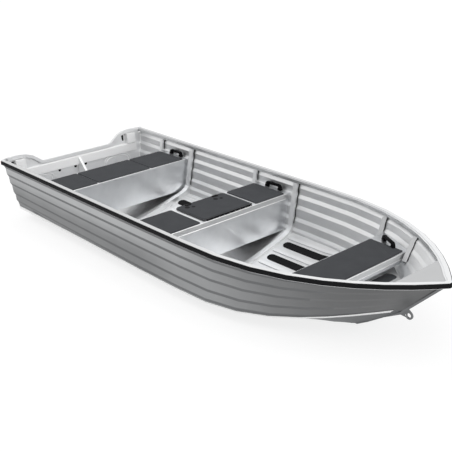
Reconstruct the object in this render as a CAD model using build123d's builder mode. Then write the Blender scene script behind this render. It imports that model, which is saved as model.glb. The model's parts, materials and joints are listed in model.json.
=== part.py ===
from build123d import *
import math
import os
from functools import lru_cache

# An open aluminium rowing and outboard boat with lapped side strakes and a V bottom.
# Millimetres. X runs forward from the transom, Y to port, Z up.
# The origin is on the centreline, at the light waterline, under the transom's top corners.

# Driving dimensions of the hull
boat_length = 4350        # transom corner to the tip of the rubbing strip
boat_half_beam = 834      # centreline to the outside of the rubbing strip
rail_height = 585         # waterline to the top of the gunwale, amidships
bow_lift = 12             # extra height of the gunwale at the bow
parallel_end = 0.615      # share of the length after which the rail curves in
rail_fullness = 2.40      # how late the rail curves in
rail_bluntness = 0.893    # how blunt the rail is at the tip

chine_length = boat_length - 345   # transom corner to where the chine meets the stem
chine_half_aft = 715      # half breadth of the chine at the transom
chine_half_mid = 730      # largest half breadth of the chine
chine_height = 101        # height of the chine along the straight run
chine_rise = 167          # climb of the chine from the straight run to the stem
chine_rise_start = 0.66   # share of the length where the chine starts to climb
transom_rake = 70         # how far forward the transom's chine lies of its top

keel_deep = -110          # underside of the plating amidships
keel_aft_rise = 48        # how much higher the keel is at the transom
keel_flat_from = 0.55     # shares of the length between which the keel is level
keel_flat_to = 0.68
forefoot_sharpness = 5.8  # how suddenly the keel turns up into the stem
forefoot_drop = 34        # from the chine's end down to the foot of the stem

plate = 3                 # thickness of the hull plates
inner = 2.5               # thickness of the folded inner plates
fit = 0.2                 # gap between the hull and what is fitted into it

# The side is pressed into lapped strakes. Each row is the foot and the head of one step,
# as shares of the side's height amidships. The heads stand out of the straight line from
# the chine to the rail, and the feet lie on it.
STRAKE_STEPS = [(0.044, 0.104), (0.235, 0.302), (0.465, 0.529), (0.665, 0.731)]
strake_out = 9
upper_fold = 0.848        # foot of the fold under the gunwale, on the same line
strake_sweep = 0.20       # how much the lower steps climb towards the transom
strake_fade = 0.18        # share of the length over which the steps die out at the bow
strake_trace = 0.05       # share of the steps that is left at the stem
rail_seat = 42            # height of the upright edge that the gunwale grips
upright_fade = 0.08       # share of the length over which that edge takes up the stem's lean

STATIONS = [0, 0.15, 0.32, 0.48, 0.60, 0.68, 0.75, 0.81, 0.86, 0.90, 0.935, 0.965, 0.985, 1]

keel_half_width = 8
keel_depth = 28
keel_fade = 0.15          # share of the length over which the bar runs out into the forefoot
stem_half_width = 20
stem_thickness = 16
nose_half = keel_half_width + plate   # the rails meet with a narrow flat nose

# Gunwale extrusion, measured inwards from the outside of the rubbing strip
strip_thickness = 8
strip_height = 26
gunwale_width = 14        # outer wall to the hull plate
gunwale_height = 40
gunwale_wall = 4
gunwale_lip = 5
gunwale_lip_height = 30
rail_width = 54           # outside of the rubbing strip to the inside of the lip
ledge_width, ledge_drop = 13, 6   # lowered ledge along the inner edge


# Hull lines
def rail_half(x):
    """Half breadth of the rubbing strip's outside, x along the boat."""
    share = (x / boat_length - parallel_end) / (1 - parallel_end)
    if share <= 0:
        return boat_half_beam
    return max(nose_half, boat_half_beam * max(0, 1 - share**rail_fullness) ** rail_bluntness)


def rail_normal(x):
    """Outward direction of the rail in plan."""
    if x >= boat_length:
        return Vector(1, 0, 0)
    step = 0.5
    slope = (rail_half(x + step) - rail_half(x - step)) / (2 * step)
    return Vector(-slope, 1, 0).normalized()


def rail_z(x):
    climb = max(0, (x / boat_length - 0.4) / 0.6)
    return rail_height + bow_lift * min(1, climb) ** 1.85


plate_inset = strip_thickness + gunwale_width


@lru_cache(maxsize=None)
def plate_top(u):
    """Outer face of the side plate, at the rail, for share u of the length."""
    x = u * boat_length
    normal = rail_normal(x)
    y = rail_half(x) - plate_inset * normal.Y
    return x - plate_inset * normal.X, max(y, keel_half_width + plate), rail_z(x) - gunwale_wall - fit


def chine(u):
    x = transom_rake + (chine_length - transom_rake) * u
    if u < 0.6:
        y = chine_half_aft + (chine_half_mid - chine_half_aft) * math.sin(u / 0.6 * math.pi / 2)
    else:
        y = chine_half_mid * max(0, 1 - ((u - 0.6) / 0.4) ** 2.7) ** 1.2
    climb = max(0, (u - chine_rise_start) / (1 - chine_rise_start))
    return x, max(y, stem_half_width), chine_height + chine_rise * climb**2


def keel_z(u):
    z = keel_deep
    if u < keel_flat_from:
        z += keel_aft_rise * ((keel_flat_from - u) / keel_flat_from) ** 2
    if u > keel_flat_to:
        stem_foot = chine_height + chine_rise - forefoot_drop
        climb = ((u - keel_flat_to) / (1 - keel_flat_to)) ** forefoot_sharpness
        z += (stem_foot - keel_deep) * climb
    return z


def x_at(u, z):
    """Where the leaning section plane of share u crosses height z."""
    top_x, _, top_z = plate_top(u)
    chine_x, _, chine_z = chine(u)
    return top_x + (chine_x - top_x) * (top_z - z) / (top_z - chine_z)


def seat_half(x):
    """Half breadth of the plate's upright edge, at x along the boat."""
    low, high = 0, 1
    for _ in range(40):
        middle = (low + high) / 2
        if plate_top(middle)[0] < x:
            low = middle
        else:
            high = middle
    return plate_top((low + high) / 2)[1]


@lru_cache(maxsize=None)
def profile(u):
    """Outer face of the port half section: keel, chine, strakes, rail, as (y, z)."""
    _, top_y, top_z = plate_top(u)
    _, chine_y, chine_z = chine(u)
    seat_z = top_z - rail_seat
    upright = min(1, (1 - u) / upright_fade)
    seat_y = top_y + (seat_half(x_at(u, seat_z)) - top_y) * upright
    fade = min(1, (1 - u) / strake_fade + strake_trace)
    points = [(keel_half_width, keel_z(u)), (chine_y, chine_z)]
    sweep = strake_sweep * max(0, 0.5 - u)
    marks = [mark for foot, head in STRAKE_STEPS for mark in ((foot, 0), (head, strake_out))]
    for share, out in marks + [(upper_fold, 0)]:
        share += sweep * (1 - share) ** 2
        y = chine_y + (top_y - chine_y) * share + out * fade
        points.append((y, chine_z + (top_z - chine_z) * share))
    return points + [(seat_y, seat_z), (top_y, top_z)]


def beside(points, distance):
    """The same line moved to its left by a distance, its corners mitred."""
    moved = []
    for i, (y, z) in enumerate(points):
        before = points[max(i - 1, 0)]
        after = points[min(i + 1, len(points) - 1)]
        normals = []
        for start, end in ((before, (y, z)), ((y, z), after)):
            length = math.dist(start, end)
            if length > 1e-9:
                normals.append((-(end[1] - start[1]) / length, (end[0] - start[0]) / length))
        n1, n2 = normals[0], normals[-1]
        scale = distance / (1 + n1[0] * n2[0] + n1[1] * n2[1])
        moved.append((y + (n1[0] + n2[0]) * scale, z + (n1[1] + n2[1]) * scale))
    return moved


def inward(points, distance):
    """The section moved inboard, its ends at the keel's side and at the same top height."""
    moved = beside(points, distance)
    (y0, z0), (y1, z1) = moved[0], moved[1]
    moved[0] = (keel_half_width, z0 + (z1 - z0) * (keel_half_width - y0) / (y1 - y0))
    (y0, z0), (y1, z1) = moved[-2], moved[-1]
    top = points[-1][1]
    moved[-1] = (y0 + (y1 - y0) * (top - z0) / (z1 - z0), top)
    return moved


def section_plane(u):
    """Plane of the section, which leans from the transom's rake to the stem's."""
    top_x, _, top_z = plate_top(u)
    chine_x, _, chine_z = chine(u)
    normal = Vector(top_z - chine_z, 0, chine_x - top_x)
    return Plane(origin=(top_x, 0, top_z), x_dir=(0, 1, 0), z_dir=normal)


def on_plane(u, points):
    """Section points (y, z) as the plane's own coordinates."""
    top_x, _, top_z = plate_top(u)
    chine_x, _, chine_z = chine(u)
    lean = math.hypot(top_z - chine_z, chine_x - top_x) / (top_z - chine_z)
    return [(y, (z - top_z) * lean) for y, z in points]


def share_at(x, z):
    """Share u of the section that passes through x at height z."""
    low, high = 0, 1
    for _ in range(40):
        middle = (low + high) / 2
        if x_at(middle, z) < x:
            low = middle
        else:
            high = middle
    return (low + high) / 2


def half_inside(x, z):
    """Half breadth inside the plates at x and height z."""
    points = inward(profile(share_at(x, z)), plate)
    for (y0, z0), (y1, z1) in zip(points, points[1:]):
        if z0 <= z <= z1:
            return y0 + (y1 - y0) * (z - z0) / (z1 - z0)
    return points[-1][0]


def bottom_inside(x, y):
    """Height of the bottom plate's upper face at x and y."""
    z = 0
    for _ in range(20):
        (y0, z0), (y1, z1) = inward(profile(share_at(x, z)), plate)[:2]
        z = z0 + (z1 - z0) * (abs(y) - y0) / (y1 - y0)
    return z


def polygon(points):
    Polygon(*points, align=None)


# The space inside the plates, used to trim what is fitted into the hull
cavity_lift = 60
with BuildPart() as cavity:
    for u in STATIONS:
        half = inward(profile(u), plate + fit)
        (seat_y, seat_z), (top_y, top_z) = half[-2:]
        lift = (top_z + cavity_lift - seat_z) / (top_z - seat_z)
        raised = half[:-1] + [(seat_y + (top_y - seat_y) * lift, top_z + cavity_lift)]
        whole = raised + [(-y, z) for y, z in reversed(raised)]
        with BuildSketch(section_plane(u)):
            polygon(on_plane(u, whole))
    loft(ruled=True)


# Hull plating
with BuildPart() as bottom_plate_port:
    for u in STATIONS:
        outside = profile(u)[:2]
        inside = inward(profile(u), plate)[:2]
        with BuildSketch(section_plane(u)):
            polygon(on_plane(u, outside + inside[::-1]))
    loft(ruled=True)

with BuildPart() as bottom_plate_starboard:
    mirror(bottom_plate_port.part, about=Plane.XZ)

with BuildPart() as side_plate_port:
    for u in STATIONS:
        outside = profile(u)[1:]
        inside = inward(profile(u), plate)[1:]
        with BuildSketch(section_plane(u)):
            polygon(on_plane(u, outside + inside[::-1]))
    loft(ruled=True)

with BuildPart() as side_plate_starboard:
    mirror(side_plate_port.part, about=Plane.XZ)

# The chine rail is an angle welded over the edge where bottom and side meet.
chine_leg_up = 26
chine_leg_in = 24
chine_wall = 5


def chine_angle(u):
    points = profile(u)
    (ky, kz), (cy, cz), (sy, sz) = points[:3]
    share_in = min(0.6, chine_leg_in / math.dist((ky, kz), (cy, cz)))
    share_up = min(0.6, chine_leg_up / math.dist((cy, cz), (sy, sz)))
    start = (cy + (ky - cy) * share_in, cz + (kz - cz) * share_in)
    end = (cy + (sy - cy) * share_up, cz + (sz - cz) * share_up)
    bottom = ((cy - ky) / math.dist((ky, kz), (cy, cz)), (cz - kz) / math.dist((ky, kz), (cy, cz)))
    side = ((sy - cy) / math.dist((cy, cz), (sy, sz)), (sz - cz) / math.dist((cy, cz), (sy, sz)))
    n1, n2 = (bottom[1], -bottom[0]), (side[1], -side[0])
    faces = []
    for out in (fit, fit + chine_wall):
        scale = out / (1 + n1[0] * n2[0] + n1[1] * n2[1])
        low = (start[0] + n1[0] * out, start[1] + n1[1] * out)
        corner = (cy + (n1[0] + n2[0]) * scale, cz + (n1[1] + n2[1]) * scale)
        high = (end[0] + n2[0] * out, end[1] + n2[1] * out)
        faces.append([low, corner, high])
    return faces[0] + faces[1][::-1]


with BuildPart() as chine_rail_port:
    for u in STATIONS[:-1]:
        with BuildSketch(section_plane(u)):
            polygon(on_plane(u, chine_angle(u)))
    loft(ruled=True)

with BuildPart() as chine_rail_starboard:
    mirror(chine_rail_port.part, about=Plane.XZ)

# Keel bar between the bottom plates, and the stem bar that closes the bow
bow_plane = section_plane(1)
keel_top = []
keel_foot = []
for u in STATIONS:
    z = inward(profile(u), plate)[0][1] - fit
    keel_top.append((x_at(u, z), z))
    z = keel_z(u)
    keel_foot.append((x_at(u, z), z - keel_depth * min(1, (1 - u) / keel_fade)))
stem_foot_z = keel_z(1)
stem_foot_x = x_at(1, stem_foot_z)
keel_foot[-1] = (
    stem_foot_x + stem_thickness * bow_plane.z_dir.X,
    stem_foot_z + stem_thickness * bow_plane.z_dir.Z,
)

with BuildPart() as keel_bar:
    with BuildSketch(Plane.XZ):
        polygon(keel_top + [(stem_foot_x, stem_foot_z)] + keel_foot[::-1])
    extrude(amount=keel_half_width, both=True)

stem_head_z = rail_z(boat_length) - gunwale_height - fit
stem_line = Vector(x_at(1, stem_head_z) - stem_foot_x, 0, stem_head_z - stem_foot_z).normalized()
with BuildPart() as stem_bar:
    with BuildSketch(bow_plane):
        lower, upper = on_plane(1, [(0, stem_foot_z), (0, stem_head_z)])
        with Locations((0, (lower[1] + upper[1]) / 2)):
            Rectangle(2 * stem_half_width, upper[1] - lower[1])
    extrude(amount=stem_thickness, taper=35)


# Gunwales and rubbing strips, sectioned square to the rail and joined at the bow
def rail_plane(u):
    """Plane square to the rail: its x points inboard from the outside, its y up."""
    x = u * boat_length
    normal = rail_normal(x)
    tangent = Vector(normal.Y, -normal.X, 0)
    return Plane(origin=(x, rail_half(x), rail_z(x)), x_dir=-normal, z_dir=-tangent)


centre_plane = Plane(origin=(boat_length, 0, rail_z(boat_length)), x_dir=(-1, 0, 0), z_dir=(0, 1, 0))
RAIL_PLANES = [rail_plane(u) for u in STATIONS] + [centre_plane]


GUNWALE_SECTION = [
    (strip_thickness, 0),
    (strip_thickness, -gunwale_height),
    (plate_inset - fit, -gunwale_height),
    (plate_inset - fit, -gunwale_height + gunwale_wall),
    (strip_thickness + gunwale_wall, -gunwale_height + gunwale_wall),
    (strip_thickness + gunwale_wall, -gunwale_wall),
    (rail_width - ledge_width - gunwale_wall, -gunwale_wall),
    (rail_width - ledge_width - gunwale_wall, -ledge_drop - gunwale_wall),
    (rail_width - gunwale_lip, -ledge_drop - gunwale_wall),
    (rail_width - gunwale_lip, -gunwale_lip_height),
    (rail_width, -gunwale_lip_height),
    (rail_width, -ledge_drop),
    (rail_width - ledge_width, -ledge_drop),
    (rail_width - ledge_width, 0),
]
strip_top = -(gunwale_height - strip_height) / 2
STRIP_SECTION = [
    (strip_thickness, strip_top),
    (2, strip_top - 2),
    (0, strip_top - 7),
    (0, strip_top - strip_height + 7),
    (2, strip_top - strip_height + 2),
    (strip_thickness, strip_top - strip_height),
]

with BuildPart() as gunwale_port:
    for plane in RAIL_PLANES:
        with BuildSketch(plane):
            polygon(GUNWALE_SECTION)
    loft(ruled=True)
    add(side_plate_port.part, mode=Mode.SUBTRACT)

with BuildPart() as gunwale_starboard:
    mirror(gunwale_port.part, about=Plane.XZ)

with BuildPart() as rub_strip_port:
    for plane in RAIL_PLANES:
        with BuildSketch(plane):
            polygon(STRIP_SECTION)
    loft(ruled=True)

with BuildPart() as rub_strip_starboard:
    mirror(rub_strip_port.part, about=Plane.XZ)

# Folded frames across the hull: ribs up the sides, bent at the knees into a flat member
# over the bottom plates
frame_width = 50
frame_crown = 30          # extra height of the member over the keel
rib_depth = 24            # at the knee, from the hull plate
rib_head_depth = 31       # under the gunwale's lip
rib_head = rail_height - gunwale_lip_height - 2
knee_top = 205            # height where the knees leave the ribs
knee_in = 100             # how far inboard the knees reach the member
# Middle of each frame and height of its member
FRAMES = {"frame_rear": (867, 46), "frame_mid": (boat_length / 2 + 91, 16)}


def frame_opening(x, member):
    """Port half of the outline that a frame leaves open, from the centreline up."""
    rib_y = half_inside(x, knee_top) - rib_depth
    foot = rib_y - knee_in
    line = []
    for share in (0, 0.25, 0.5, 0.75, 1):
        floor = bottom_inside(x, max(foot * share, keel_half_width))
        line.append((foot * share, floor + member + frame_crown * (1 - share) ** 2))
    foot_z = line[-1][1]
    bend_z = foot_z + 0.3 * knee_in
    for t in (0.25, 0.5, 0.75, 1):
        y = foot * (1 - t) ** 2 + rib_y * (2 * t * (1 - t) + t**2)
        z = foot_z * (1 - t) ** 2 + bend_z * 2 * t * (1 - t) + knee_top * t**2
        line.append((y, z))
    head_y = half_inside(x, rib_head) - rib_head_depth
    past = 1.2            # the outline runs out over the rib's head
    return line + [(rib_y + (head_y - rib_y) * past, knee_top + (rib_head - knee_top) * past)]


def both_sides(line):
    return line + [(-y, z) for y, z in line[:0:-1]]


def cross_frame(x, member):
    """A channel on its feet, open towards the hull plates."""
    slab = Box(frame_width, 2000, rib_head + 200, align=(Align.CENTER, Align.CENTER, Align.MAX), mode=Mode.PRIVATE)
    opening = frame_opening(x, member)
    hollow = beside(opening, -inner)
    hollow[0] = (0, hollow[0][1])
    with BuildPart() as piece:
        add(slab.moved(Location((x, 0, rib_head))))
        add(cavity.part, mode=Mode.INTERSECT)
        with BuildSketch(Plane.YZ.offset(x - frame_width / 2)):
            Polygon(*both_sides(opening), align=None)
        extrude(amount=frame_width, mode=Mode.SUBTRACT)
        with BuildSketch(Plane.YZ.offset(x - frame_width / 2 + inner)):
            Rectangle(2000, 2000)
            Polygon(*both_sides(hollow), align=None, mode=Mode.SUBTRACT)
        extrude(amount=frame_width - 2 * inner, mode=Mode.SUBTRACT)
    return piece


frame_rear = cross_frame(*FRAMES["frame_rear"])
frame_mid = cross_frame(*FRAMES["frame_mid"])

# Short channel ribs on the sides, as (middle, foot height)
rib_width = 40
rib_slope = 14            # how far the rib's head is cut down on its aft side
SIDE_RIBS = [(404, 150), (boat_length / 2 - 411, 150)]
BOW_RIBS = [(boat_length - 1070, 200), (boat_length - 670, 300)]


def side_rib(x, foot):
    """A pair of channel ribs on both sides, open towards the hull plates."""
    low, high = half_inside(x, foot) - rib_depth, half_inside(x, rib_head) - rib_head_depth
    with BuildPart() as pair:
        with BuildSketch(Plane.YZ.offset(x - rib_width / 2)):
            for side in (1, -1):
                Polygon(
                    (side * low, foot),
                    (side * 1000, foot),
                    (side * 1000, rib_head),
                    (side * high, rib_head),
                    align=None,
                )
        extrude(amount=rib_width)
        with BuildSketch(Plane.YZ.offset(x - rib_width / 2 + inner)):
            for side in (1, -1):
                Polygon(
                    (side * (low + inner), foot - 1),
                    (side * 1000, foot - 1),
                    (side * 1000, rib_head + 1),
                    (side * (high + inner), rib_head + 1),
                    align=None,
                )
        extrude(amount=rib_width - 2 * inner, mode=Mode.SUBTRACT)
        add(cavity.part, mode=Mode.INTERSECT)
        with BuildSketch(Plane.XZ):
            Polygon(
                (x - rib_width / 2 - 1, rib_head + 1),
                (x - rib_width / 2 - 1, rib_head - rib_slope),
                (x - rib_width / 2 + rib_slope + 1, rib_head + 1),
                align=None,
            )
        extrude(amount=1000, both=True, mode=Mode.SUBTRACT)
    return pair


with BuildPart() as side_ribs:
    for middle, foot in SIDE_RIBS:
        add(side_rib(middle, foot).part)

with BuildPart() as bow_ribs:
    for middle, foot in BOW_RIBS:
        add(side_rib(middle, foot).part)


# Thwarts: folded seats that span the hull
rear_aft, rear_front, rear_top = 432, 815, 440
mid_aft, mid_front, mid_top = boat_length / 2 - 380, boat_length / 2 + 25, 445
bow_aft, bow_front, bow_top = boat_length - 1040, boat_length - 700, 435
flange = 50               # depth of the turned-down edges of the middle and bow thwarts
panel_back = 14           # how far their panels stand back from those edges
rear_foot, mid_foot, bow_foot = 125, 100, 345


def seat(aft, front, top, foot):
    """Top plate with turned-down flanges, over two panels that stand back from them."""
    back = panel_back
    with BuildPart() as piece:
        with BuildSketch(Plane.XZ):
            Polygon(
                (aft, top),
                (front, top),
                (front, top - flange),
                (front - back - inner, top - flange),
                (front - back - inner, foot),
                (front - back - 2 * inner, foot),
                (front - back - 2 * inner, top - flange + inner),
                (front - inner, top - flange + inner),
                (front - inner, top - inner),
                (aft + inner, top - inner),
                (aft + inner, top - flange + inner),
                (aft + back + 2 * inner, top - flange + inner),
                (aft + back + 2 * inner, foot),
                (aft + back + inner, foot),
                (aft + back + inner, top - flange),
                (aft, top - flange),
                align=None,
            )
        extrude(amount=1000, both=True)
        add(cavity.part, mode=Mode.INTERSECT)
    return piece


bow_thwart = seat(bow_aft, bow_front, bow_top, bow_foot)

# The rear thwart is one folded sheet, its panels straight down from the top.
with BuildPart() as rear_thwart:
    with BuildSketch(Plane.XZ):
        Polygon(
            (rear_aft, rear_foot),
            (rear_aft, rear_top),
            (rear_front, rear_top),
            (rear_front, rear_foot),
            (rear_front - inner, rear_foot),
            (rear_front - inner, rear_top - inner),
            (rear_aft + inner, rear_top - inner),
            (rear_aft + inner, rear_foot),
            align=None,
        )
    extrude(amount=1000, both=True)
    add(cavity.part, mode=Mode.INTERSECT)

# The middle thwart is a locker with a hatch in its top.
hatch_aft, hatch_front = mid_aft + 17, mid_front - 32
hatch_starboard, hatch_port = -205, 325
hatch_radius = 28
locker_floor = 130
locker_wall = 22          # from the hatch's edge to the locker's sides
hatch_x = (hatch_aft + hatch_front) / 2
hatch_y = (hatch_starboard + hatch_port) / 2
hatch_long = hatch_front - hatch_aft
hatch_wide = hatch_port - hatch_starboard

mid_shell = seat(mid_aft, mid_front, mid_top, mid_foot)
locker_length = mid_front - mid_aft - 2 * panel_back - 4 * inner
locker_height = mid_top - inner - locker_floor
with BuildPart() as mid_thwart:
    add(mid_shell.part)
    with BuildSketch(Plane.XY.offset(mid_top - flange)):
        with Locations((hatch_x, hatch_y)):
            RectangleRounded(hatch_long, hatch_wide, hatch_radius)
    extrude(amount=flange + 10, mode=Mode.SUBTRACT)
    with Locations(((mid_aft + mid_front) / 2, hatch_y, locker_floor)):
        Box(locker_length, hatch_wide + 2 * locker_wall, inner, align=(Align.CENTER, Align.CENTER, Align.MIN))
    for y in (hatch_starboard - locker_wall - inner / 2, hatch_port + locker_wall + inner / 2):
        with Locations(((mid_aft + mid_front) / 2, y, locker_floor)):
            Box(locker_length, inner, locker_height, align=(Align.CENTER, Align.CENTER, Align.MIN))

# Foam pads on the thwarts, as (aft, front, starboard, port, height of the seat)
pad_thickness = 9
pad_radius = 22
pad_margin = 9            # seat edge to the pads, fore and aft
pad_from_side = 68        # hull plate to the outermost pads
rear_pad_half = half_inside(rear_front, rear_top) - pad_from_side
mid_pad_half = half_inside(mid_front, mid_top) - pad_from_side
rear_run = (rear_aft + pad_margin, rear_front - pad_margin)
mid_run = (mid_aft + pad_margin, mid_front - pad_margin)
PADS = {
    "rear_pad_port": (*rear_run, 318, rear_pad_half, rear_top),
    "rear_pad_centre": (*rear_run, -290, 310, rear_top),
    "rear_pad_starboard": (*rear_run, -rear_pad_half, -298, rear_top),
    "mid_pad_port": (*mid_run, hatch_port + 47, mid_pad_half, mid_top),
    "mid_pad_starboard": (*mid_run, -mid_pad_half, hatch_starboard - 57, mid_top),
}


def pad(aft, front, starboard, port, seat_top):
    with BuildPart() as piece:
        with BuildSketch(Plane.XY.offset(seat_top)):
            with Locations(((aft + front) / 2, (starboard + port) / 2)):
                RectangleRounded(front - aft, port - starboard, pad_radius)
        extrude(amount=pad_thickness)
        chamfer(piece.faces().sort_by(Axis.Z)[-1].edges(), 2)
    return piece


with BuildPart() as bow_pad:
    with BuildSketch(Plane.XY.offset(bow_top)) as bow_pad_outline:
        Polygon(
            (bow_aft + 8, -505), (bow_front - 10, -385), (bow_front - 10, 385), (bow_aft + 8, 505), align=None
        )
        fillet(bow_pad_outline.vertices(), pad_radius)
    extrude(amount=pad_thickness)
    chamfer(bow_pad.faces().sort_by(Axis.Z)[-1].edges(), 2)

# Hatch lid on the middle thwart, hinged along its front edge
lid_gap = 0.3
lid_overlap = 14
lid_thickness = 9
lid_pad_thickness = 5
lid_base = mid_top + lid_gap
lid_top = lid_base + lid_thickness
hinge_x = hatch_front + 12
hinge_radius = 4.5
hinge_pin = 2
hinge_bore = 2.3
hinge_z = lid_base + hinge_radius
lid_front = hinge_x - hinge_radius - 1
lid_aft = hatch_aft - lid_overlap
with BuildPart() as hatch_lid:
    with BuildSketch(Plane.XY.offset(lid_base)) as lid_outline:
        with Locations(((lid_aft + lid_front) / 2, hatch_y)):
            Rectangle(lid_front - lid_aft, hatch_wide + 2 * lid_overlap)
        fillet(lid_outline.vertices().group_by(Axis.X)[0], hatch_radius + lid_overlap)
        fillet(lid_outline.vertices().group_by(Axis.X)[-1], 8)
    extrude(amount=lid_thickness)
    chamfer(hatch_lid.faces().sort_by(Axis.Z)[-1].edges(), 2)
    with BuildSketch(Plane.XY.offset(lid_base)):
        with Locations((hatch_x, hatch_y)):
            RectangleRounded(hatch_long - 16, hatch_wide - 16, hatch_radius - 8)
    extrude(amount=-12)
    with BuildSketch(Plane.XY.offset(lid_base - 12)):
        with Locations((hatch_x, hatch_y)):
            RectangleRounded(hatch_long - 24, hatch_wide - 24, hatch_radius - 12)
    extrude(amount=12 + lid_thickness - 4, mode=Mode.SUBTRACT)

lid_pad_margin = 10
with BuildPart() as lid_pad:
    with BuildSketch(Plane.XY.offset(lid_top)):
        with Locations(((lid_aft + lid_front) / 2, hatch_y)):
            RectangleRounded(
                lid_front - lid_aft - 2 * lid_pad_margin,
                hatch_wide + 2 * lid_overlap - 2 * lid_pad_margin,
                hatch_radius,
            )
    extrude(amount=lid_pad_thickness)
    chamfer(lid_pad.faces().sort_by(Axis.Z)[-1].edges(), 1.5)

latch_length, latch_width, latch_thickness = 62, 26, 4
latch_x = lid_aft + 34
LATCH_SIDES = (-95, 215)
with BuildPart() as lid_latches:
    with BuildSketch(Plane.XY.offset(lid_top + lid_pad_thickness)):
        with Locations(*[(latch_x, y) for y in LATCH_SIDES]):
            SlotOverall(latch_length, latch_width, rotation=90)
    extrude(amount=latch_thickness)
    with BuildSketch(Plane.XY.offset(lid_top + lid_pad_thickness + latch_thickness)):
        with Locations(*[(latch_x, y + 10) for y in LATCH_SIDES]):
            SlotOverall(latch_length - 30, latch_width - 12, rotation=90)
    extrude(amount=-2.5, mode=Mode.SUBTRACT)

# Piano hinge: its knuckles take turns between the lid and the thwart.
knuckles = 5
knuckle_gap = 1
hinge_length = hatch_wide - 20
knuckle_pitch = hinge_length / knuckles
hinge_leaf = 14
hinge_start = hatch_y - hinge_length / 2


def knuckle_row(first):
    """Every second knuckle from the first."""
    with BuildPart() as row:
        for i in range(first, knuckles, 2):
            y = hinge_start + i * knuckle_pitch
            with BuildSketch(Plane.XZ.offset(-y - knuckle_gap / 2)):
                with Locations((hinge_x, hinge_z)):
                    Circle(hinge_radius)
            extrude(amount=-(knuckle_pitch - knuckle_gap))
    return row


with BuildPart() as hinge_fixed:
    add(knuckle_row(0).part)
    with BuildSketch(Plane.XZ.offset(-hinge_start)):
        with Locations((hinge_x, hinge_z)):
            Circle(hinge_pin)
    extrude(amount=-hinge_length)
    for i in range(0, knuckles, 2):
        y = hinge_start + i * knuckle_pitch + knuckle_gap / 2
        with Locations((hinge_x, y, mid_top)):
            Box(hinge_leaf, knuckle_pitch - knuckle_gap, hinge_radius + lid_gap - hinge_pin, align=Align.MIN)
    with Locations((hinge_x + hinge_radius + 1, hinge_start, mid_top)):
        Box(hinge_leaf - hinge_radius - 1, hinge_length, 2, align=Align.MIN)

with BuildPart() as lid_hinge:
    add(knuckle_row(1).part)
    for i in range(1, knuckles, 2):
        y = hinge_start + i * knuckle_pitch + knuckle_gap / 2
        with Locations((lid_front, y, hinge_z + hinge_bore)):
            Box(hinge_x - lid_front, knuckle_pitch - knuckle_gap, hinge_radius - hinge_bore, align=Align.MIN)
    with BuildSketch(Plane.XZ.offset(-hinge_start)):
        with Locations((hinge_x, hinge_z)):
            Circle(hinge_bore)
    extrude(amount=-hinge_length, mode=Mode.SUBTRACT)

# Transom between the side plates, with a motor notch in its top edge
transom_thickness = 4
transom_plane = section_plane(0)
notch_half, notch_height = 380, 490
ear_outer = 770
TRANSOM_TOP = [
    (ear_outer, 592),
    (650, 595),
    (566, 586),
    (506, 564),
    (464, 536),
    (416, 500),
    (notch_half, notch_height),
]
top_edge = TRANSOM_TOP + [(-y, z) for y, z in reversed(TRANSOM_TOP)]
with BuildPart() as transom_plate:
    with BuildSketch(transom_plane):
        half = inward(profile(0), plate + fit)
        sill = rail_height - gunwale_height - 5
        half[-1] = (half[-2][0] + (half[-1][0] - half[-2][0]) * 0.7, sill)
        half.append((ear_outer, sill))
        port_side = [(0, half[0][1])] + half
        Polygon(*on_plane(0, port_side + top_edge + [(-y, z) for y, z in port_side[:0:-1]]), align=None)
    extrude(amount=transom_thickness)

# Trim along the transom's top edge, with a lip down its inside, and the caps that close
# the gunwales' ends
cap_height = 6
cap_width = 34
cap_lip, cap_lip_height = 4, 24
end_cap_thickness = 6
cap_front = transom_thickness / 2 + cap_width / 2
with BuildPart() as transom_cap:
    above = beside(on_plane(0, top_edge), -fit - cap_height)
    for back, depth, drop in ((cap_front - cap_width, cap_width, -fit), (cap_front - cap_lip, cap_lip, cap_lip_height)):
        with BuildSketch(transom_plane.offset(back)):
            Polygon(*beside(on_plane(0, top_edge), drop), *above[::-1], align=None)
        extrude(amount=depth)
    with BuildSketch(Plane.YZ.offset(-fit - end_cap_thickness)):
        for side in (1, -1):
            Polygon(
                (side * (ear_outer - 4), rail_height - gunwale_height),
                (side * (ear_outer - 4), 597),
                (side * (boat_half_beam - 16), 594),
                (side * (boat_half_beam - 3), 582),
                (side * (boat_half_beam - 3), rail_height - gunwale_height),
                align=None,
            )
    extrude(amount=end_cap_thickness)
    add(transom_plate.part, mode=Mode.SUBTRACT)

# Stiffening board across the inside of the transom, with the posts under the ears
board_foot, board_head, board_half = 375, 462, 715
board_depth = 24
board_back = transom_thickness + fit
with BuildPart() as transom_board:
    with BuildSketch(transom_plane.offset(board_back)):
        Polygon(
            *on_plane(0, [(-board_half, board_foot), (board_half, board_foot)]),
            *on_plane(0, [(board_half, board_head), (-board_half, board_head)]),
            align=None,
        )
    extrude(amount=board_depth)
    chamfer(transom_board.faces().sort_by(Axis.X)[-1].edges().group_by(Axis.Z)[-1], 8)

post_inner, post_outer, post_head = 598, 704, 562
post_depth = 40
with BuildPart() as transom_posts:
    with BuildSketch(transom_plane.offset(board_back)):
        for side in (1, -1):
            Polygon(
                *on_plane(0, [(side * post_inner, board_head + fit), (side * post_outer, board_head + fit)]),
                *on_plane(0, [(side * post_outer, post_head), (side * post_inner, post_head)]),
                align=None,
            )
    extrude(amount=post_depth)
    add(transom_cap.part, mode=Mode.SUBTRACT)

# Pad for the motor's clamps on the outside of the notch
motor_pad_half, motor_pad_foot, motor_pad_thickness = 190, 318, 10
with BuildPart() as motor_pad:
    with BuildSketch(transom_plane.offset(-fit)):
        Polygon(
            *on_plane(0, [(-motor_pad_half, motor_pad_foot), (motor_pad_half, motor_pad_foot)]),
            *on_plane(0, [(motor_pad_half, notch_height - 1), (-motor_pad_half, notch_height - 1)]),
            align=None,
        )
    extrude(amount=-motor_pad_thickness)

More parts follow.
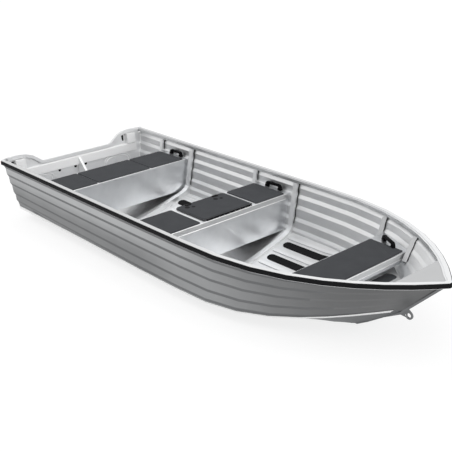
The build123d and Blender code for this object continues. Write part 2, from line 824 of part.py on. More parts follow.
# Knee from the transom's board down to the keel
knee_width = 24
knee_head, knee_reach = 455, 420
with BuildPart() as transom_knee:
    with BuildSketch(Plane.XZ):
        Polygon((0, knee_head), (45, knee_head), (knee_reach, 70), (knee_reach, -200), (0, -200), align=None)
    extrude(amount=knee_width / 2, both=True)
    with BuildSketch(transom_plane.offset(board_back)):
        Rectangle(1000, 3000)
    extrude(amount=-400, mode=Mode.SUBTRACT)
    with BuildSketch(transom_plane.offset(board_back)):
        Polygon(
            *on_plane(0, [(-board_half, board_foot - fit), (board_half, board_foot - fit)]),
            *on_plane(0, [(board_half, 900), (-board_half, 900)]),
            align=None,
        )
    extrude(amount=board_depth + fit, mode=Mode.SUBTRACT)
    add(cavity.part, mode=Mode.INTERSECT)

# Carrying handles outside the transom's ears, cut from bar
carry_middle, carry_half = 667, 58
carry_z, carry_out = 560, 44
carry_bar, carry_depth = 13, 12
carry_plane = Plane(origin=(x_at(0, carry_z), 0, carry_z), x_dir=(0, 1, 0), z_dir=transom_plane.y_dir)
with BuildPart() as stern_handles:
    with BuildSketch(carry_plane.offset(-carry_depth / 2)):
        for side in (1, -1):
            middle = side * carry_middle
            Polygon(
                (middle - carry_half, fit),
                (middle - carry_half + 5, carry_out - 10),
                (middle - carry_half + 15, carry_out),
                (middle + carry_half - 15, carry_out),
                (middle + carry_half - 5, carry_out - 10),
                (middle + carry_half, fit),
                (middle + carry_half - carry_bar, fit),
                (middle + carry_half - 5 - carry_bar, carry_out - carry_bar),
                (middle - carry_half + 5 + carry_bar, carry_out - carry_bar),
                (middle - carry_half + carry_bar, fit),
                align=None,
            )
    extrude(amount=carry_depth)

# Grab handles: moulded bridges on broad feet, a pair on each thwart
handle_rise, handle_bar, handle_width = 45, 14, 22
handle_foot, handle_leg = 36, 20
HANDLES = [
    # aft end, front end, how far the ends stand inboard of the side, seat height
    (rear_aft + 124, rear_aft + 304, 30, 30, rear_top),
    (mid_aft + 122, mid_aft + 314, 30, 30, mid_top),
    (bow_aft + 80, bow_aft + 250, 120, 132, bow_top),
]
with BuildPart() as grab_handles:
    for aft, front, aft_in, front_in, seat_top in HANDLES:
        for side in (1, -1):
            start = Vector(aft, side * (half_inside(aft, seat_top + handle_rise) - aft_in), seat_top)
            stop = Vector(front, side * (half_inside(front, seat_top + handle_rise) - front_in), seat_top)
            along = (stop - start).normalized()
            span = (stop - start).length
            with BuildSketch(Plane(origin=start, x_dir=along, z_dir=along.cross(Vector(0, 0, 1)))):
                Polygon(
                    (0, 0),
                    (0, 6),
                    (10, handle_rise - 10),
                    (20, handle_rise),
                    (span - 20, handle_rise),
                    (span - 10, handle_rise - 10),
                    (span, 6),
                    (span, 0),
                    (span - handle_foot, 0),
                    (span - handle_foot, 6),
                    (span - 10 - handle_leg, handle_rise - handle_bar),
                    (10 + handle_leg, handle_rise - handle_bar),
                    (handle_foot, 6),
                    (handle_foot, 0),
                    align=None,
                )
            extrude(amount=handle_width / 2, both=True)

# Breasthook: the flat plate that ties the gunwales together at the bow
breasthook_aft = boat_length - 274
breasthook_thickness = 4
breasthook_z = rail_z(breasthook_aft) - 12


def lip_point(x):
    """Point beside the gunwale's lip, for a place x on the rubbing strip."""
    normal = rail_normal(x)
    reach = rail_width + fit
    return x - reach * normal.X, rail_half(x) - reach * normal.Y


hook_points = [lip_point(u * boat_length) for u in STATIONS]
edge_points = [point for point in hook_points if point[0] > breasthook_aft]
before = [point for point in hook_points if point[0] <= breasthook_aft][-1]
after = edge_points[0]
aft_half = before[1] + (after[1] - before[1]) * (breasthook_aft - before[0]) / (after[0] - before[0])
edge_points.insert(0, (breasthook_aft, aft_half))
with BuildPart() as breasthook:
    with BuildSketch(Plane.XY.offset(breasthook_z)):
        Polygon(*edge_points, *[(x, -y) for x, y in reversed(edge_points)], align=None)
    extrude(amount=breasthook_thickness)
    add([side_plate_port.part, side_plate_starboard.part], mode=Mode.SUBTRACT)

# Bow eye: a plate hung from the stem bar, with a round eye and a small hole behind it
eye_radius, eye_bore, eye_thickness = 31, 17, 10
eye_up = 60               # along the stem, from its foot
eye_drop = eye_radius + 4
small_bore, small_x, small_y = 7, -27, 14
stem_point = Vector(stem_foot_x, 0, stem_foot_z) + stem_line * eye_up
eye_seat = stem_point + bow_plane.z_dir * (stem_thickness + fit)
eye_centre = eye_seat + bow_plane.z_dir * eye_drop
with BuildPart() as bow_eye:
    with BuildSketch(Plane(origin=eye_centre, x_dir=stem_line, z_dir=(0, -1, 0))):
        Circle(eye_radius)
        Polygon(
            (-eye_radius, 0), (eye_radius, 0), (eye_radius - 6, eye_drop), (-2 * eye_radius, eye_drop), align=None
        )
        Circle(eye_bore, mode=Mode.SUBTRACT)
        with Locations((small_x, small_y)):
            Circle(small_bore, mode=Mode.SUBTRACT)
    extrude(amount=eye_thickness / 2, both=True)

# Bow floor plate and its foot pad
bow_floor_z = 290
bow_floor_aft, bow_floor_front = bow_aft + 90, boat_length - 365
with BuildPart() as bow_floor_plate:
    with Locations(((bow_floor_aft + bow_floor_front) / 2, 0, bow_floor_z)):
        Box(
            bow_floor_front - bow_floor_aft, 1200, inner, align=(Align.CENTER, Align.CENTER, Align.MAX)
        )
    add(cavity.part, mode=Mode.INTERSECT)
    add(bow_ribs.part, mode=Mode.SUBTRACT)

foot_pad_half = 355
with BuildPart() as bow_floor_pad:
    with BuildSketch(Plane.XY.offset(bow_floor_z)):
        with Locations((bow_front, 0)):
            RectangleRounded(100, 2 * foot_pad_half, 40)
    extrude(amount=4)

# Pressed ribs along the bottom plates, in front of the middle frame, and anti-slip strips
# between them
floor_aft = mid_front + 112
floor_front = boat_length - 1060
floor_rib_width, floor_rib_height = 34, 9
FLOOR_RIBS = (285, 463, 652)


def on_bottom(outlines, thickness):
    """Flat outlines laid on the bottom plates, of one thickness."""
    with BuildPart() as piece:
        with BuildSketch(Plane.XY.offset(-150)):
            for outline in outlines:
                Polygon(*outline, align=None)
        extrude(amount=400)
        add(cavity.part, mode=Mode.INTERSECT)
        add(cavity.part.moved(Location((0, 0, thickness))), mode=Mode.SUBTRACT)
    return piece


def long_strip(aft, front, y, width):
    """Outline of a strip along the boat with rounded ends."""
    turn = width / 2
    end = [(turn * math.cos(math.radians(a)), turn * math.sin(math.radians(a))) for a in (-90, -54, -18, 18, 54, 90)]
    return [(front - turn + dx, y + dy) for dx, dy in end] + [(aft + turn - dx, y - dy) for dx, dy in end]


def on_both(*strips):
    return [long_strip(aft, front, side * y, width) for aft, front, y, width in strips for side in (1, -1)]


floor_ribs = on_bottom(on_both(*[(floor_aft, floor_front, y, floor_rib_width) for y in FLOOR_RIBS]), floor_rib_height)

strip_width = 74
grip_thickness = 3
grip_strips = on_bottom(
    on_both(
        (floor_aft + 20, floor_front - 20, 377, strip_width),
        (floor_aft + 26, floor_front - 20, 570, strip_width),
        (mid_aft - 560, mid_aft - 70, 300, strip_width),
    ),
    grip_thickness,
)

# Drain plug low in the transom
plug_radius, plug_z, plug_y = 13, 0, 70
with BuildPart() as drain_plug:
    with BuildSketch(transom_plane.offset(-fit)):
        with Locations(*on_plane(0, [(plug_y, plug_z)])):
            RegularPolygon(plug_radius, 6)
    extrude(amount=-9)

PIECES = {
    "bottom_plate_port": bottom_plate_port,
    "bottom_plate_starboard": bottom_plate_starboard,
    "side_plate_port": side_plate_port,
    "side_plate_starboard": side_plate_starboard,
    "chine_rail_port": chine_rail_port,
    "chine_rail_starboard": chine_rail_starboard,
    "keel_bar": keel_bar,
    "stem_bar": stem_bar,
    "gunwale_port": gunwale_port,
    "gunwale_starboard": gunwale_starboard,
    "rub_strip_port": rub_strip_port,
    "rub_strip_starboard": rub_strip_starboard,
    "frame_rear": frame_rear,
    "frame_mid": frame_mid,
    "side_ribs": side_ribs,
    "bow_ribs": bow_ribs,
    "rear_thwart": rear_thwart,
    "mid_thwart": mid_thwart,
    "bow_thwart": bow_thwart,
    "bow_pad": bow_pad,
    "hatch_lid": hatch_lid,
    "lid_pad": lid_pad,
    "lid_latches": lid_latches,
    "lid_hinge": lid_hinge,
    "hinge_fixed": hinge_fixed,
    "transom_plate": transom_plate,
    "transom_cap": transom_cap,
    "transom_board": transom_board,
    "transom_posts": transom_posts,
    "motor_pad": motor_pad,
    "transom_knee": transom_knee,
    "stern_handles": stern_handles,
    "grab_handles": grab_handles,
    "breasthook": breasthook,
    "bow_eye": bow_eye,
    "bow_floor_plate": bow_floor_plate,
    "bow_floor_pad": bow_floor_pad,
    "floor_ribs": floor_ribs,
    "grip_strips": grip_strips,
    "drain_plug": drain_plug,
}
for name, size in PADS.items():
    PIECES[name] = pad(*size)

os.makedirs("parts", exist_ok=True)
for name, piece in PIECES.items():
    piece.part.label = name
    export_step(piece.part, f"parts/{name}.step")
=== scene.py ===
import json
import math

import bmesh
import bpy
from mathutils import Matrix, Vector, geometry, noise
from mathutils.bvhtree import BVHTree


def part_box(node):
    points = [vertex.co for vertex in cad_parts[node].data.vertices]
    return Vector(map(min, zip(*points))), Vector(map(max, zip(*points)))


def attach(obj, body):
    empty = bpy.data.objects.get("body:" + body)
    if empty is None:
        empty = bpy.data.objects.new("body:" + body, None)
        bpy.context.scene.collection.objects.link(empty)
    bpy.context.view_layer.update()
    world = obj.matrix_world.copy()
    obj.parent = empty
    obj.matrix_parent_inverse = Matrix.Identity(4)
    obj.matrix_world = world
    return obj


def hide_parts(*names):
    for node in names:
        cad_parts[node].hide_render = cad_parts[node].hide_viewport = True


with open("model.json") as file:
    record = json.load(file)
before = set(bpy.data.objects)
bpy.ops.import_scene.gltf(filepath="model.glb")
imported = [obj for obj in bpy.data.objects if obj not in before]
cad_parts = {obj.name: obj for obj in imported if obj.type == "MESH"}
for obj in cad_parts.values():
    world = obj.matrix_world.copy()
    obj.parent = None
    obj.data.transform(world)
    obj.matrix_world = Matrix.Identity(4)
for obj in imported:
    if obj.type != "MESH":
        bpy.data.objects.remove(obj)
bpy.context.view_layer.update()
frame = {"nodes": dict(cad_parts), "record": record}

# Sizes of the hull, in metres
BOAT_LENGTH = 4.35
RAIL_HEIGHT = 0.585
BOW_LIFT = 0.012
BOW_LIFT_START = 0.4  # share of the length where the rail starts to rise
GUNWALE_HEIGHT = 0.040
SIDES = (("port", 1), ("starboard", -1))

# Runs over which the sheet's tone is painted, in metres: painted shade downwards on the outer
# sheet, which fades out towards the bow, and towards the bow painted shade on the outer sheet and
# painted light on the inner wall and the gunwales
FOOT_SHADE_HEIGHTS = (0.49, 0.25)
FOOT_SHADE_FADE = (1.9, 2.9)
BOW_SHADING_RUN = (1.8, 4.1)
# Scale of the rolling grain along and across the sheet
GRAIN_STRETCH = (6, 160, 160)


# Shader node helpers
def new_material(name):
    """A material with its nodes, its links and its main shader."""
    material = bpy.data.materials.new(name)
    material.use_nodes = True
    tree = material.node_tree
    return material, tree.nodes, tree.links, tree.nodes["Principled BSDF"]


def make_group(name, inputs, outputs):
    """An empty shader group with named value and vector sockets."""
    tree = bpy.data.node_groups.new(name, "ShaderNodeTree")
    for label, kind, value in inputs:
        socket = tree.interface.new_socket(label, in_out="INPUT", socket_type=kind)
        if value is not None:
            socket.default_value = value
    for label, kind in outputs:
        tree.interface.new_socket(label, in_out="OUTPUT", socket_type=kind)
    return tree, tree.nodes.new("NodeGroupInput"), tree.nodes.new("NodeGroupOutput")


def build_sheet_finish():
    """Rolled sheet: long fine grain, cloudy dulling, and painted shade and light that change along
    the hull.
    """
    tree, given, result = make_group(
        "Sheet finish",
        [
            ("Vector", "NodeSocketVector", None),
            ("Tone", "NodeSocketColor", (0.5, 0.5, 0.5, 1)),
            ("Dulling", "NodeSocketFloat", 0.1),
            ("Roughness", "NodeSocketFloat", 0.35),
            ("Bow painted shading", "NodeSocketFloat", 1),
            ("Foot painted shade", "NodeSocketFloat", 1),
        ],
        [
            ("Color", "NodeSocketColor"),
            ("Roughness", "NodeSocketFloat"),
            ("Height", "NodeSocketFloat"),
        ],
    )
    nodes, links = tree.nodes, tree.links
    stretch = nodes.new("ShaderNodeVectorMath")
    stretch.operation = "MULTIPLY"
    stretch.inputs[1].default_value = GRAIN_STRETCH
    links.new(given.outputs["Vector"], stretch.inputs[0])
    grain = nodes.new("ShaderNodeTexNoise")
    grain.inputs["Scale"].default_value = 1
    grain.inputs["Detail"].default_value = 3
    links.new(stretch.outputs["Vector"], grain.inputs["Vector"])
    cloud = nodes.new("ShaderNodeTexNoise")
    cloud.inputs["Scale"].default_value = 3.5
    cloud.inputs["Detail"].default_value = 4
    links.new(given.outputs["Vector"], cloud.inputs["Vector"])
    shade = nodes.new("ShaderNodeMapRange")
    shade.inputs["From Min"].default_value = 0.3
    shade.inputs["From Max"].default_value = 0.7
    links.new(cloud.outputs["Fac"], shade.inputs["Value"])
    factor = nodes.new("ShaderNodeMath")
    factor.operation = "MULTIPLY"
    links.new(shade.outputs["Result"], factor.inputs[0])
    links.new(given.outputs["Dulling"], factor.inputs[1])
    dark = nodes.new("ShaderNodeMix")
    dark.data_type = "RGBA"
    dark.blend_type = "MULTIPLY"
    links.new(factor.outputs[0], dark.inputs["Factor"])
    links.new(given.outputs["Tone"], dark.inputs["A"])
    dark.inputs["B"].default_value = (0.35, 0.36, 0.38, 1)
    place = nodes.new("ShaderNodeSeparateXYZ")
    links.new(given.outputs["Vector"], place.inputs[0])

    def ramp(value, run, first, last):
        """A smooth change from first to last while the value goes along the run."""
        node = nodes.new("ShaderNodeMapRange")
        node.interpolation_type = "SMOOTHSTEP"
        node.inputs["From Min"].default_value, node.inputs["From Max"].default_value = run
        links.new(value, node.inputs["Value"])
        for label, tone in (("To Min", first), ("To Max", last)):
            if isinstance(tone, int):
                node.inputs[label].default_value = tone
            else:
                links.new(tone, node.inputs[label])
        return node.outputs["Result"]

    # The tone is scaled low down and towards the bow: painted shade, and painted light where a
    # factor is above 1.
    low_down = ramp(place.outputs["Z"], FOOT_SHADE_HEIGHTS, 1, given.outputs["Foot painted shade"])
    dulling_and_painted_shade = dark.outputs["Result"]
    for factor in (
        ramp(place.outputs["X"], BOW_SHADING_RUN, 1, given.outputs["Bow painted shading"]),
        ramp(place.outputs["X"], FOOT_SHADE_FADE, low_down, 1),
    ):
        shade_by = nodes.new("ShaderNodeVectorMath")
        shade_by.operation = "SCALE"
        links.new(dulling_and_painted_shade, shade_by.inputs[0])
        links.new(factor, shade_by.inputs["Scale"])
        dulling_and_painted_shade = shade_by.outputs["Vector"]
    links.new(dulling_and_painted_shade, result.inputs["Color"])
    spread = nodes.new("ShaderNodeMath")
    spread.operation = "MULTIPLY_ADD"
    links.new(grain.outputs["Fac"], spread.inputs[0])
    spread.inputs[1].default_value = 0.14
    links.new(given.outputs["Roughness"], spread.inputs[2])
    links.new(spread.outputs[0], result.inputs["Roughness"])
    links.new(grain.outputs["Fac"], result.inputs["Height"])
    return tree


SHEET_FINISH = build_sheet_finish()


def sheet_metal(name, tone, roughness, dulling=0.12, bow_painted_shading=1, foot_painted_shade=1, metallic=1):
    """Aluminium sheet; the bow and foot factors multiply its tone at the bow and low down: painted
    shade below 1, painted light above 1.
    """
    material, nodes, links, shader = new_material(name)
    finish = nodes.new("ShaderNodeGroup")
    finish.node_tree = SHEET_FINISH
    coords = nodes.new("ShaderNodeTexCoord")
    links.new(coords.outputs["Object"], finish.inputs["Vector"])
    finish.inputs["Tone"].default_value = (*tone, 1)
    finish.inputs["Roughness"].default_value = roughness
    finish.inputs["Dulling"].default_value = dulling
    finish.inputs["Bow painted shading"].default_value = bow_painted_shading
    finish.inputs["Foot painted shade"].default_value = foot_painted_shade
    links.new(finish.outputs["Color"], shader.inputs["Base Color"])
    links.new(finish.outputs["Roughness"], shader.inputs["Roughness"])
    bump = nodes.new("ShaderNodeBump")
    bump.inputs["Strength"].default_value = 0.02
    bump.inputs["Distance"].default_value = 0.001
    links.new(finish.outputs["Height"], bump.inputs["Height"])
    links.new(bump.outputs["Normal"], shader.inputs["Normal"])
    shader.inputs["Metallic"].default_value = metallic
    return material


def build_grain():
    """Moulded or foam grain: fine cells over a slow drift of tone."""
    tree, given, result = make_group(
        "Fine grain",
        [
            ("Vector", "NodeSocketVector", None),
            ("Tone", "NodeSocketColor", (0.05, 0.05, 0.05, 1)),
            ("Cell scale", "NodeSocketFloat", 900),
        ],
        [("Color", "NodeSocketColor"), ("Height", "NodeSocketFloat")],
    )
    nodes, links = tree.nodes, tree.links
    cells = nodes.new("ShaderNodeTexVoronoi")
    links.new(given.outputs["Vector"], cells.inputs["Vector"])
    links.new(given.outputs["Cell scale"], cells.inputs["Scale"])
    drift = nodes.new("ShaderNodeTexNoise")
    drift.inputs["Scale"].default_value = 9
    drift.inputs["Detail"].default_value = 6
    links.new(given.outputs["Vector"], drift.inputs["Vector"])
    mix = nodes.new("ShaderNodeMix")
    mix.data_type = "RGBA"
    mix.blend_type = "MULTIPLY"
    links.new(drift.outputs["Fac"], mix.inputs["Factor"])
    links.new(given.outputs["Tone"], mix.inputs["A"])
    mix.inputs["B"].default_value = (0.72, 0.72, 0.73, 1)
    links.new(mix.outputs["Result"], result.inputs["Color"])
    links.new(cells.outputs["Distance"], result.inputs["Height"])
    return tree


FINE_GRAIN = build_grain()


def grained(name, tone, roughness, cell_scale, depth, shine):
    """Foam, rubber or moulded plastic with a fine surface grain."""
    material, nodes, links, shader = new_material(name)
    grain = nodes.new("ShaderNodeGroup")
    grain.node_tree = FINE_GRAIN
    coords = nodes.new("ShaderNodeTexCoord")
    links.new(coords.outputs["Object"], grain.inputs["Vector"])
    grain.inputs["Tone"].default_value = (*tone, 1)
    grain.inputs["Cell scale"].default_value = cell_scale
    links.new(grain.outputs["Color"], shader.inputs["Base Color"])
    bump = nodes.new("ShaderNodeBump")
    bump.inputs["Strength"].default_value = depth
    bump.inputs["Distance"].default_value = 0.0006
    links.new(grain.outputs["Height"], bump.inputs["Height"])
    links.new(bump.outputs["Normal"], shader.inputs["Normal"])
    shader.inputs["Roughness"].default_value = roughness
    shader.inputs["Specular IOR Level"].default_value = shine
    return material


# Aluminium finishes: name, tone, roughness and dulling
# The outer faces of the side plates are a darker copy of the inner wall sheet: painted shade.
OUTER_SHEET_SHADED = sheet_metal(
    "Outer hull sheet painted shade", (0.475, 0.482, 0.488), 0.38, bow_painted_shading=0.3, foot_painted_shade=0.54
)
# Darker lap faces outside: painted shade; lighter lap faces inside: painted highlight.
OUTER_LAP_SHADE = sheet_metal(
    "Outer hull laps painted shade", (0.20, 0.205, 0.21), 0.45, bow_painted_shading=0.8, foot_painted_shade=0.8
)
# The bottom's outer face is a far darker copy of the inner floor sheet: painted shade.
UNDER_SHEET_SHADED = sheet_metal("Bottom sheet outside painted shade", (0.13, 0.135, 0.14), 0.45)
# The inner wall gets lighter towards the bow: painted light.
INNER_SHEET = sheet_metal("Inner wall sheet", (0.79, 0.795, 0.80), 0.36, bow_painted_shading=1.12)
INNER_LAP_HIGHLIGHT = sheet_metal("Inner wall laps painted highlight", (0.86, 0.865, 0.87), 0.36)
FLOOR_SHEET = sheet_metal("Bottom sheet inside", (0.84, 0.845, 0.85), 0.38)
TRANSOM_SHEET = sheet_metal("Transom sheet", (0.92, 0.92, 0.92), 0.45, 0.05, metallic=0.5)
THWART_SHEET = sheet_metal("Thwart sheet", (0.84, 0.855, 0.87), 0.28, 0.3)
# A darker copy of the thwart sheet for its forward-facing faces: painted shade.
FLANGE_SHADE_SHEET = sheet_metal("Thwart flange painted shade", (0.74, 0.745, 0.75), 0.36, 0.1)
BRIGHT_SHEET = sheet_metal(
    "Folded bright sheet", (0.86, 0.865, 0.87), 0.36, 0.06, metallic=0.7
)
# The gunwales get lighter towards the bow: painted light.
BRIGHT_RAIL = sheet_metal("Bright extrusion", (0.68, 0.685, 0.69), 0.34, 0.06, bow_painted_shading=1.3)
# The chine rail is much lighter than the other rails: a painted reflection of the floor.
CHINE_RAIL_SHEEN = sheet_metal("Chine extrusion painted reflection", (0.95, 0.95, 0.95), 0.3, 0.04, metallic=0.75)
CAP_RAIL = sheet_metal("Transom cap", (0.80, 0.805, 0.81), 0.34, 0.06, metallic=0.6)
ROLLED_EDGE = sheet_metal("Rolled bright edge", (0.95, 0.95, 0.95), 0.3, 0.02, metallic=0.6)
STEM_METAL = sheet_metal("Stem casting", (0.20, 0.205, 0.21), 0.45)
TRANSOM_SKIN = sheet_metal("Transom skin", (0.80, 0.805, 0.81), 0.42, 0.1, metallic=0.6)
BOW_PLATE = sheet_metal("Bow plates", (0.57, 0.575, 0.58), 0.36, 0.06, metallic=0.8)
# A darker copy of the bright sheet for the ribs' forward-facing faces: painted shade.
RIB_FRONT_SHADE = sheet_metal("Rib front painted shade", (0.74, 0.745, 0.75), 0.4)
DARK_GAP = sheet_metal("Shadowed gap", (0.03, 0.03, 0.032), 0.7)
SCREW_METAL = sheet_metal("Stainless screws", (0.55, 0.55, 0.56), 0.3)

# Rubber, foam and plastic: name, tone, roughness, cell scale, depth of the grain and shine
BLACK_RUBBER = grained("Black rubbing strip", (0.006, 0.006, 0.007), 0.62, 400, 0.15, 0.14)
SEAT_FOAM = grained("Charcoal foam", (0.066, 0.069, 0.074), 0.95, 900, 0.5, 0.25)
LID_PLASTIC = grained("Charcoal lid plastic", (0.048, 0.049, 0.052), 0.5, 700, 0.3, 0.3)
BLACK_PLASTIC = grained("Black moulded plastic", (0.008, 0.008, 0.009), 0.38, 600, 0.2, 0.03)
GRIP_RUBBER = grained("Anti-slip strip", (0.014, 0.014, 0.015), 0.9, 350, 1.0, 0.12)

# Pieces that aren't listed are of folded bright sheet
FINISH_OF_NODE = {
    "breasthook": BOW_PLATE,
    "bow_ribs": BOW_PLATE,
    "rear_thwart": THWART_SHEET,
    "mid_thwart": THWART_SHEET,
    "bow_thwart": THWART_SHEET,
    "bottom_plate_port": UNDER_SHEET_SHADED,
    "bottom_plate_starboard": UNDER_SHEET_SHADED,
    "side_plate_port": OUTER_SHEET_SHADED,
    "side_plate_starboard": OUTER_SHEET_SHADED,
    "transom_plate": TRANSOM_SKIN,
    "transom_board": TRANSOM_SHEET,
    "transom_posts": TRANSOM_SHEET,
    "transom_knee": TRANSOM_SHEET,
    "chine_rail_port": CHINE_RAIL_SHEEN,
    "chine_rail_starboard": CHINE_RAIL_SHEEN,
    "keel_bar": STEM_METAL,
    "stem_bar": STEM_METAL,
    "gunwale_port": BRIGHT_RAIL,
    "gunwale_starboard": BRIGHT_RAIL,
    "transom_cap": CAP_RAIL,
    "bow_eye": STEM_METAL,
    "stern_handles": BRIGHT_RAIL,
    "drain_plug": BRIGHT_RAIL,
    "rub_strip_port": BLACK_RUBBER,
    "rub_strip_starboard": BLACK_RUBBER,
    "hatch_lid": LID_PLASTIC,
    "lid_hinge": BLACK_PLASTIC,
    "hinge_fixed": BLACK_PLASTIC,
    "lid_latches": BLACK_PLASTIC,
    "motor_pad": BLACK_PLASTIC,
    "grab_handles": BLACK_PLASTIC,
    "grip_strips": GRIP_RUBBER,
}
# Plates whose inner face is a lighter copy of the sheet than the painted shade of the outer face,
# as (finish, the way that face looks)
INNER_FINISH = {
    "bottom_plate_port": (FLOOR_SHEET, Vector((0, 0, 1))),
    "bottom_plate_starboard": (FLOOR_SHEET, Vector((0, 0, 1))),
    "side_plate_port": (INNER_SHEET, Vector((0, -1, 0))),
    "side_plate_starboard": (INNER_SHEET, Vector((0, 1, 0))),
}
FLANGED = ("mid_thwart", "bow_thwart")
RIBBED = ("frame_rear", "frame_mid", "side_ribs", "bow_ribs")

record = frame["record"]
slot_of = {part["node"]: part["material_slot"] for part in record["subparts"]}
body_of = {
    node: body for body, nodes in record["behaviour"]["bodies"].items() for node in nodes
}

# Soft bevels along the edges of moulded and extruded pieces, in metres
BEVEL_OF_NODE = {
    "hatch_lid": 0.002,
    "lid_latches": 0.001,
    "grab_handles": 0.002,
    "stern_handles": 0.002,
    "transom_board": 0.003,
    "transom_posts": 0.003,
    "motor_pad": 0.002,
}

# Small changes of form, in metres
STRIP_SPREAD = 1.4  # height of the rubbing strip, as a multiple of its solid's
HANDLE_SWELL = 0.004
LATCH_SWELL = 0.003
BOW_RIB_FROM = 3.6  # the ribs forward of this are cut off at BOW_RIB_FOOT
BOW_RIB_FOOT = 0.385
BOW_RIB_SLOPE = 0.76  # how far the side leans out for each metre up

# Corners closer than this are one, and faces flatter than this to each other too
SAME_PLACE = 0.00002
SAME_PLANE = math.radians(0.05)


def surface_of(node):
    """The surface of a CAD piece, to find where lines meet it."""
    mesh = frame["nodes"][node].data
    return BVHTree.FromPolygons(
        [vertex.co for vertex in mesh.vertices], [face.vertices for face in mesh.polygons]
    )


def merged(mesh):
    """A piece's mesh with its triangles joined into plane faces."""
    work = bmesh.new()
    work.from_mesh(mesh)
    bmesh.ops.remove_doubles(work, verts=work.verts, dist=SAME_PLACE)
    bmesh.ops.dissolve_limit(work, angle_limit=SAME_PLANE, verts=work.verts, edges=work.edges)
    return work


def deepen_strip(mesh):
    """The rubbing strip spread over nearly the whole height of the gunwale's outside."""
    for vertex in mesh.vertices:
        along = vertex.co.x / BOAT_LENGTH
        climb = min(1, max(0, (along - BOW_LIFT_START) / (1 - BOW_LIFT_START)))
        middle = RAIL_HEIGHT + BOW_LIFT * climb**1.85 - GUNWALE_HEIGHT / 2
        vertex.co.z = middle + (vertex.co.z - middle) * STRIP_SPREAD


def shorten_bow_rib(mesh):
    """The foremost ribs end in a cut; what was below it slides up along the side."""
    for vertex in mesh.vertices:
        if vertex.co.x > BOW_RIB_FROM and vertex.co.z < BOW_RIB_FOOT:
            rise = BOW_RIB_FOOT - vertex.co.z
            vertex.co.y += math.copysign(BOW_RIB_SLOPE * rise, vertex.co.y)
            vertex.co.z = BOW_RIB_FOOT


def swell(mesh, amount):
    """A moulded piece made fuller all round, but not at its foot."""
    normals = [vertex.normal.copy() for vertex in mesh.vertices]
    for vertex, normal in zip(mesh.vertices, normals):
        normal.z = max(normal.z, 0)
        vertex.co += normal * amount


# Angles above which an edge is shown as a corner, as a long fold, or gets a bevel
CORNER_ANGLE = math.radians(24)
FOLD_ANGLE = math.radians(4)
BEVEL_ANGLE = math.radians(30)

# A face is a lap where it leans this much more than the panels of its section; laps get painted
# shade outside and a painted highlight inside. The steps between the panels fade out over the last
# part of the bow.
LAP_LEAN = 0.13
STEP_FADE = 0.18
STEP_SHOWS = 0.3


def is_long_fold(edge):
    """An edge that runs fore and aft, with a shallow fold along it."""
    along = edge.verts[1].co - edge.verts[0].co
    lengthwise = along.length > 0.05 and abs(along.z) < 0.5 * along.length
    return edge.is_manifold and lengthwise and edge.calc_face_angle(0) > FOLD_ANGLE


def mark_creases(mesh):
    """Sharp corners, and the long folds that run fore and aft, which are shallower."""
    mesh.set_sharp_from_angle(angle=CORNER_ANGLE)
    work = bmesh.new()
    work.from_mesh(mesh)
    for edge in work.edges:
        if is_long_fold(edge):
            edge.smooth = False
    work.to_mesh(mesh)
    work.free()


def usual_lean(section):
    """The middle lean of a section by height, from (lean, height) pairs."""
    left = sum(height for _, height in section) / 2
    for lean, height in sorted(section):
        left -= height
        if left <= 0:
            break
    return lean


def lap_faces(mesh, way):
    """Faces that lean clearly more than the section round them: the steps between panels, which
    get painted shade outside and a painted highlight inside.
    """
    skins = {True: [], False: []}
    for face in mesh.polygons:
        inside = face.normal.dot(way) > 0
        lean = face.normal.z if inside else -face.normal.z
        xs = [mesh.vertices[index].co.x for index in face.vertices]
        height = face.area / (max(xs) - min(xs) + 0.001)
        skins[inside].append((lean, height, min(xs), max(xs), face))
    laps = set()
    for skin in skins.values():
        for lean, _, _, _, face in skin:
            x = face.center.x
            section = [(other, height) for other, height, aft, fore, _ in skin if aft <= x <= fore]
            step = min(1, (1 - x / BOAT_LENGTH) / STEP_FADE)
            if step > STEP_SHOWS and lean > usual_lean(section) + LAP_LEAN * step:
                laps.add(face.index)
    return laps


def lay_finishes(node, mesh):
    """The piece's finish, and the others on inner faces, laps, flanges and rib fronts, which are
    lit and shaded copies of the sheet: painted light and shade.
    """
    finishes = [FINISH_OF_NODE.get(node, BRIGHT_SHEET)]
    indices = [0] * len(mesh.polygons)
    if node in INNER_FINISH:
        inner, way = INNER_FINISH[node]
        finishes += [inner, OUTER_LAP_SHADE, INNER_LAP_HIGHLIGHT]
        # Lap faces get painted shade outside and a painted highlight inside.
        laps = lap_faces(mesh, way) if node.startswith("side_plate") else ()
        indices = [
            int(face.normal.dot(way) > 0) + 2 * int(face.index in laps) for face in mesh.polygons
        ]
    elif node in FLANGED:
        # The thwart's forward-facing faces get the darker copy of its sheet: painted shade.
        finishes.append(FLANGE_SHADE_SHEET)
        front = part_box(node)[1][0] - 0.001
        indices = [int(face.normal.x > 0.9 and face.center.x > front) for face in mesh.polygons]
    elif node in RIBBED:
        # The ribs' forward-facing faces get the darker copy: painted shade.
        finishes.append(RIB_FRONT_SHADE)
        indices = [int(face.normal.x > 0.9) for face in mesh.polygons]
    mesh.materials.clear()
    for finish in finishes:
        mesh.materials.append(finish)
    mesh.polygons.foreach_set("material_index", indices)


